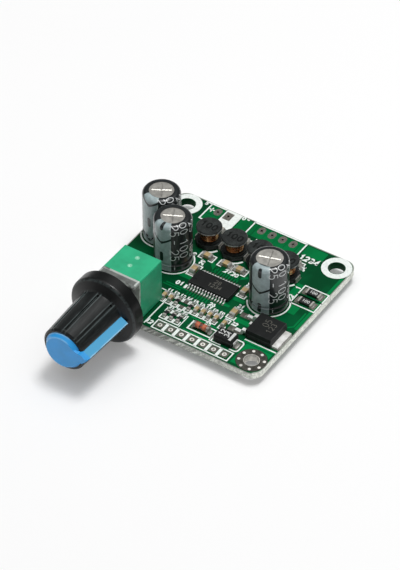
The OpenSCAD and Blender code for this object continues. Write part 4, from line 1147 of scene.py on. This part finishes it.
# Solder at the tab package's leads and tab: place, reach, width, height
SOLDER_ENDS = (((11.0, -6.065, 2), 0.7, 0.9, 0.4), ((11.0, -10.635, 2), 0.7, 0.9, 0.4),
               ((21.0, -8.35, 0), 0.28, 4.9, 0.3))


class AMP_OT_solder(bpy.types.Operator):
    """Add the solder that has climbed the parts' ends, and finish the cones below"""
    bl_idname = "amplifier.solder"
    bl_label = "Solder"

    def execute(self, context):
        look = context.scene.amp_board
        bright = tinned("bright_solder", look.solder, rough=0.26, wave=1.1, depth=0.04, metal=0.7)
        made = Shape()
        for places, *sizes in SOLDER_PAIRS:
            for x, y, quarters in places:
                for half_turn in (0, 2):
                    made.fillet((x, y, quarters + half_turn), *sizes)
        for place, *sizes in SOLDER_ENDS:
            made.fillet(place, 0, *sizes)
        made.piece("part_solder", bright)
        dress(bright, "underside_solder")
        return {"FINISHED"}


class AMP_OT_control(bpy.types.Operator):
    """Finish the volume control: housing, cast plate, shaft and the parts inside"""
    bl_idname = "amplifier.control"
    bl_label = "Volume control"

    def execute(self, context):
        look = context.scene.amp_control
        dress(housing_plastic(look), "pot_housing")
        dress(cast_metal(look), "pot_front_plate")
        dress(tinned("turned_shaft", look.plate, wave=3.0, depth=0.01), "pot_shaft")
        dress(moulded("rotor_plastic", linear(214, 210, 196), rough=0.45), "pot_rotors")
        dress(tinned("wiper_brass", linear(200, 160, 88), wave=3.0, depth=0.01), "pot_wipers")
        dress(moulded("wafer_board", linear(96, 62, 36), rough=0.5, grain_scale=4.0, depth=0.02),
              "pot_wafers")
        dress(tinned("pin_tin", LEAD_TIN, wave=2.0, depth=0.02), "pot_pins")
        return {"FINISHED"}


class AMP_OT_knob(bpy.types.Operator):
    """Finish the knob's black body and its coloured insert"""
    bl_idname = "amplifier.knob"
    bl_label = "Knob"

    def execute(self, context):
        look = context.scene.amp_control
        dress(knob_plastic(look), "knob_body")
        dress(pointer_plastic(look), "knob_pointer")
        return {"FINISHED"}


def sleeve_surface(node, vent):
    """A way to lay flat points on a capacitor's sleeve.

    Across is the angle in degrees, up the length along the profile from the board: straight up
    the wall, in and out of the rolled groove, round the shoulder, then in over the flat end.
    The lift goes outwards along the wall's normal. Prints end just before the bare vent.
    """
    low, high = box_mm(node)
    axis = (low + high) / 2
    radius = (high[0] - low[0]) / 2
    shoulder, groove, groove_at, groove_up = 0.99, 0.36, 0.06, 1.9
    bend_up = high[2] - TOP - shoulder
    over = bend_up + shoulder * math.pi / 2

    def lay(flat):
        angle, up, lift = np.radians(flat[:, 0]), flat[:, 1], flat[:, 2]
        dip = np.sqrt(np.maximum(groove ** 2 - (up - groove_up) ** 2, 0)) - groove_at
        turn = np.clip((up - bend_up) / shoulder, 0, math.pi / 2)
        out = radius - shoulder + (shoulder + lift) * np.cos(turn)
        out = out - np.maximum(dip, 0) * (up < bend_up) - np.maximum(up - over, 0)
        rise = np.minimum(up, bend_up) + (shoulder + lift) * np.sin(turn)
        return np.column_stack([axis[0] + out * np.cos(angle), axis[1] + out * np.sin(angle), TOP + rise])

    return lay, radius, over + radius - shoulder - vent - 0.03


# Radius of each bare vent, in millimetres
VENTS = {1: 2.5, 2: 2.75, 3: 2.6}
# Stripe's angle, heights of its chevrons' points and of its oblong marks, for each capacitor
PRINTS = {1: (-92, (7.5,), (12.05, 3.9)), 2: (-87, (5.6,), (10.8, 1.74)),
          3: (-97, (10.2, 1.1), (5.85,))}
# Half the stripe's width, in degrees
STRIPE_HALF = 30.0
# Numbers that read down the sleeve: words, angle from the stripe, height of the middle, size
NUMBER_COLUMNS = (
    ("25", 40, 4.6, 1.75), ("25", 40, 11.1, 1.75), ("-", 40, 8.1, 1.5), ("-", 40, 1.2, 1.5),
    ("100", 70, 6.0, 1.9), ("100", 70, 12.0, 1.7), ("105", 104, 4.6, 1.6), ("25", 104, 10.5, 1.6),
    ("100", 150, 6.0, 1.9), ("25", 200, 5.0, 1.75), ("100", 250, 7.0, 1.9))


class AMP_OT_capacitors(bpy.types.Operator):
    """Finish the capacitors and print the stripe and the numbers on their sleeves"""
    bl_idname = "amplifier.capacitors"
    bl_label = "Capacitors"

    def execute(self, context):
        look = context.scene.amp_capacitors
        film, stripe, can = sleeve_film(look), stripe_ink(look), bare_can(look)
        pale = moulded("number_ink", look.ink, grain_scale=9.0, depth=0.01, coat=0.3, spread=0.06)
        rubber = moulded("bung_rubber", linear(38, 36, 35), rough=0.65, grain_scale=5.0, depth=0.02)
        lead = tinned("lead_tin", LEAD_TIN, wave=2.0, depth=0.02)
        for n in CAPS:
            node = f"capacitor_{n}_sleeve"
            dress(film, node)
            dress(can, f"capacitor_{n}_can")
            dress(rubber, f"capacitor_{n}_bung")
            dress(lead, f"capacitor_{n}_leads")
            lay, radius, top = sleeve_surface(node, VENTS[n])
            degree = math.degrees(1 / radius)
            self.stripe(lay, PRINTS[n][0], top).piece(f"capacitor_{n}_stripe", stripe)
            self.marks(lay, *PRINTS[n], top, degree).piece(f"capacitor_{n}_stripe_marks", film)
            self.numbers(lay, PRINTS[n][0], top, degree).piece(f"capacitor_{n}_numbers", pale)
        return {"FINISHED"}

    @staticmethod
    def stripe(lay, centre, top):
        """A band up the sleeve and over its shoulder: a grid of angle and length up the profile.

        Its rows lie closer together at the rolled groove and round the shoulder.
        """
        up = np.concatenate([np.linspace(0.34, 1.5, 4), np.linspace(1.56, 2.24, 15),
                             np.linspace(2.3, 10.6, 10), np.linspace(10.75, top, 14)])
        turn = centre + np.linspace(-STRIPE_HALF, STRIPE_HALF, 17)
        made = Shape(lay)
        made.patch(*np.meshgrid(turn, up), 0.014)
        return made

    @staticmethod
    def marks(lay, centre, chevrons, oblongs, top, degree):
        """Dark marks on the stripe, cut off where they would pass the sleeve's ends.

        A chevron rises evenly with the angle off the stripe's middle. An oblong has straight sides
        and half circles at its ends, whose width is the root of the radius squared less the
        height past the straight part squared.
        """
        made = Shape(lay)
        slope, thick, half_wide, straight, high = 1.35, 0.26, 0.4, 0.8, 0.03
        for point in chevrons:
            u, v = np.meshgrid(np.linspace(-1, 1, 25), np.linspace(-thick, thick, 3))
            v = v + point + abs(u) * slope
            kept = v.min(axis=0) > 0.4
            made.patch(u[:, kept] * STRIPE_HALF + centre, v[:, kept], high)
        for level in oblongs:
            u, v = np.meshgrid(np.linspace(-1, 1, 7), 1.2 * np.sin(np.linspace(-1.5, 1.5, 15)))
            past = np.maximum(abs(v) - straight, 0)
            width = np.sqrt(np.maximum(half_wide ** 2 - past ** 2, 0.0004))
            kept = v[:, 0] + level < top - 0.02
            made.patch((u * width * degree + centre)[kept], (v + level)[kept], high)
        return made

    @staticmethod
    def numbers(lay, centre, top, degree):
        """Numbers that read down the sleeve; strokes that don't fit between its ends are left out."""
        made = Shape()
        pen, high, step, first, last = 0.17, 0.016, 0.25, 0.5, top - 0.2
        for words, turn, level, size in NUMBER_COLUMNS:
            made.surface = lambda flat, start=centre + turn: lay(flat * (degree, 1, 1) + (start, 0, 0))
            for path, closed in number_strokes(words, size):
                path = np.column_stack([path[:, 1], level - path[:, 0]])
                if path[:, 1].min() > first and path[:, 1].max() < last:
                    made.ribbon(path if closed else refine(path, step), pen, high, closed=closed)
        return made


class AMP_OT_inductors(bpy.types.Operator):
    """Finish the drum inductors and print a number on each"""
    bl_idname = "amplifier.inductors"
    bl_label = "Inductors"

    def execute(self, context):
        look = context.scene.amp_parts
        ferrite, wire = ferrite_grain(look), enamelled_wire(look)
        clip = tinned("clip_tin", linear(200, 198, 192), rough=0.28, wave=2.0, depth=0.02, metal=0.6)
        made = Shape()
        for n, at in zip(COILS, COIL_AT):
            dress(ferrite, f"inductor_{n}_core")
            dress(wire, f"inductor_{n}_winding")
            dress(clip, f"inductor_{n}_clips")
            level = lid(f"inductor_{n}_core")
            made.text("100", 1.5, 0.34, (*at, 0), level + 0.012, level + SUNK)
        ink = moulded("core_ink", tone(look.ferrite, 0.3), rough=0.5, spread=0.6, shine=0.12)
        made.piece("inductor_numbers", ink)
        return {"FINISHED"}


# Marks on the packages: node, words, x and y from its middle, height, quarter turns
PACKAGE_MARKS = (("amplifier_chip_body", "28", 0.6, 0.7, 0.9, 0),
                 ("amplifier_chip_body", "1234", 0.6, -0.6, 0.9, 0),
                 ("tab_package_body", "05", -0.3, 0.9, 1.3, 1),
                 ("tab_package_body", "123", 1.2, 0.0, 1.1, 1))


class AMP_OT_packages(bpy.types.Operator):
    """Finish the moulded packages, their leads and the faint marks on them"""
    bl_idname = "amplifier.packages"
    bl_label = "Moulded packages"

    def execute(self, context):
        look = context.scene.amp_parts
        for node in ("amplifier_chip_body", "tab_package_body", "rectifier_body"):
            dress(package_moulding(look, node), node)
        # Painted reflection: the leads and the tab are near-white tin with little metal, standing in for
        # the light they reflect.
        dress(tinned("lead_frame", linear(248, 248, 244), rough=0.28, wave=2.0, depth=0.02, metal=0.2),
              "amplifier_chip_leads", "tab_package_leads", "rectifier_terminals")
        dress(tinned("tab_plating", linear(244, 243, 238), rough=0.34, wave=0.6, depth=0.01, metal=0.2),
              "tab_package_tab")
        made = Shape()
        for node, words, dx, dy, size, quarters in PACKAGE_MARKS:
            x, y, _ = middle(node)
            level = lid(node)
            made.text(words, size, 0.13, (x + dx, y + dy, quarters), level + 0.006, level + SUNK)
        made.piece("package_marks", moulded("laser_mark", look.mark, rough=0.6, depth=0.01))

        white = Shape()
        low, high = box_mm("rectifier_body")
        x, y, _ = middle("rectifier_body")
        level = lid("rectifier_body")
        heights = level + 0.012, level + SUNK
        for words, dx in (("12", -0.95), ("34", 0.35)):
            white.text(words, 0.95, 0.2, (x + dx, y + 0.1, 1), *heights)
        band_at, band_width, inset = high[0] - 0.62, 0.6, 0.14
        white.ribbon([(band_at, low[1] + inset), (band_at, high[1] - inset)], band_width, *heights)
        level = lid("large_resistor_bodies")
        for place in LARGE_RESISTORS:
            white.text("100", 0.66, 0.14, place, level + 0.008, level + SUNK)
        ink = moulded("number_white", linear(206, 208, 206), rough=0.45, depth=0.01, spread=0.08)
        white.piece("package_numbers", ink)
        return {"FINISHED"}


class AMP_OT_small_parts(bpy.types.Operator):
    """Finish the glass diode, the ceramic capacitors and the resistors"""
    bl_idname = "amplifier.small_parts"
    bl_label = "Small parts"

    def execute(self, context):
        look = context.scene.amp_parts
        dress(diode_body(look), "diode_glass")
        dress(chip_ceramic(look), "large_ceramic_bodies", "small_ceramic_bodies")
        glaze = moulded("resistor_glaze", linear(24, 24, 26), rough=0.3, grain_scale=6.0, depth=0.01,
                        coat=0.3)
        dress(glaze, "small_resistor_bodies", "large_resistor_bodies")
        dress(tinned("end_tin", linear(200, 197, 190), rough=0.34, wave=2.4, depth=0.03, metal=0.6),
              "large_ceramic_ends", "small_ceramic_ends", "small_resistor_ends", "large_resistor_ends")
        dress(tinned("diode_tin", linear(158, 154, 146), wave=1.6, depth=0.04, metal=0.8), "diode_caps")
        return {"FINISHED"}


class AMP_OT_stage(bpy.types.Operator):
    """Lay the floor, hang the lamps and set the camera"""
    bl_idname = "amplifier.stage"
    bl_label = "Stage"

    def execute(self, context):
        scene = context.scene
        look = scene.amp_stage
        scene.view_settings.view_transform = "Standard"
        self.floor(scene, look)
        self.lamps(scene, look)
        self.camera(scene, look)
        return {"FINISHED"}

    @staticmethod
    def floor(scene, look):
        """A wide sheet under the leads' tips. Seen directly it gives a little white of its own."""
        half, glow_share = 2.0, 0.2
        level = CAD_BOX[0].z
        mesh = bpy.data.meshes.new("floor")
        mesh.from_pydata([(*at, level) for at in rectangle(-half, half, -half, half)], [], [(0, 1, 2, 3)])
        sheet = bpy.data.objects.new("floor", mesh)
        scene.collection.objects.link(sheet)
        f = Finish("floor_paper", specular_ior_level=0.0, roughness=0.9)
        f.set(base_color=f.shade(f.noise(0.02, 2), look.floor, 0.985, 1))
        path = f.node("ShaderNodeLightPath").socket.node.outputs
        seen = sum(Value(f, path[f"Is {ray} Ray"]) for ray in ("Camera", "Glossy", "Transmission"))
        glow = f.node("ShaderNodeEmission", None, {"Color": (1.0, 1.0, 1.0), "Strength": 1.0})
        surface = f.node("ShaderNodeMixShader", None, {
            0: seen.least(1) * glow_share, 1: Value(f, f.shader.outputs[0]), 2: glow})
        f.feed(f.tree.nodes["Material Output"].inputs["Surface"], surface)
        mesh.materials.append(f.material)

    @staticmethod
    def lamps(scene, look):
        """A pale sky that darkens towards the horizon, and one large lamp above and behind."""
        scene.world = bpy.data.worlds.new("studio")
        scene.world.use_nodes = True
        fade_from, fade_to = 0.6, 0.97
        sky = Nodes(scene.world.node_tree)
        height = sky.node("ShaderNodeSeparateXYZ", None, {0: sky.node("ShaderNodeTexCoord")}, 2)
        background = sky.tree.nodes["Background"].inputs
        sky.feed(background["Color"], (1, 1, 1))
        sky.feed(background["Strength"], height.rise(fade_from, fade_to, look.horizon, look.sky))
        data = bpy.data.lights.new("key_lamp", "AREA")
        data.energy = look.key
        data.size = 0.24
        lamp = bpy.data.objects.new("key_lamp", data)
        lamp.location = (0.07, 0.1, 0.77)
        lamp.rotation_euler = lamp.location.to_track_quat("Z", "Y").to_euler()
        scene.collection.objects.link(lamp)

    @staticmethod
    def camera(scene, look):
        """A long lens at the photograph's angle, aimed a little left of the board's middle."""
        aim = Vector((-2.21, -3.40, 1.6)) * MM
        back = Vector((math.sin(look.azimuth) * math.cos(look.elevation),
                       -math.cos(look.azimuth) * math.cos(look.elevation), math.sin(look.elevation)))
        data = bpy.data.cameras.new("camera")
        data.lens = look.lens
        data.sensor_width = 36.0
        data.clip_start = 0.01
        eye = bpy.data.objects.new("camera", data)
        eye.location = aim + back * look.distance
        eye.rotation_euler = back.to_track_quat("Z", "Y").to_euler()
        scene.collection.objects.link(eye)
        scene.camera = eye


LOOKS = {"amp_board": BoardLook, "amp_control": ControlLook, "amp_capacitors": CapacitorLook,
         "amp_parts": PartLook, "amp_stage": StageLook}
MAKERS = (AMP_OT_board, AMP_OT_tracks, AMP_OT_ink, AMP_OT_pads, AMP_OT_solder, AMP_OT_control,
          AMP_OT_knob, AMP_OT_capacitors, AMP_OT_inductors, AMP_OT_packages, AMP_OT_small_parts,
          AMP_OT_stage)


class AMP_PT_looks(bpy.types.Panel):
    """The board's colours and sizes, and the operators that build its looks"""
    bl_idname = "AMP_PT_looks"
    bl_label = "Amplifier Board"
    bl_space_type = "VIEW_3D"
    bl_region_type = "UI"
    bl_category = "Amplifier"

    def draw(self, context):
        for pointer, group in LOOKS.items():
            column = self.layout.box().column()
            for name in group.__annotations__:
                column.prop(getattr(context.scene, pointer), name)
        for maker in MAKERS:
            self.layout.operator(maker.bl_idname)


def register():
    for group in (*LOOKS.values(), *MAKERS, AMP_PT_looks):
        bpy.utils.register_class(group)
    for pointer, group in LOOKS.items():
        setattr(bpy.types.Scene, pointer, bpy.props.PointerProperty(type=group))


def unregister():
    for pointer in LOOKS:
        delattr(bpy.types.Scene, pointer)
    for group in (AMP_PT_looks, *MAKERS, *LOOKS.values()):
        bpy.utils.unregister_class(group)


def main():
    register()
    for maker in MAKERS:
        group, name = maker.bl_idname.split(".")
        getattr(getattr(bpy.ops, group), name)()


if __name__ == "__main__":
    main()
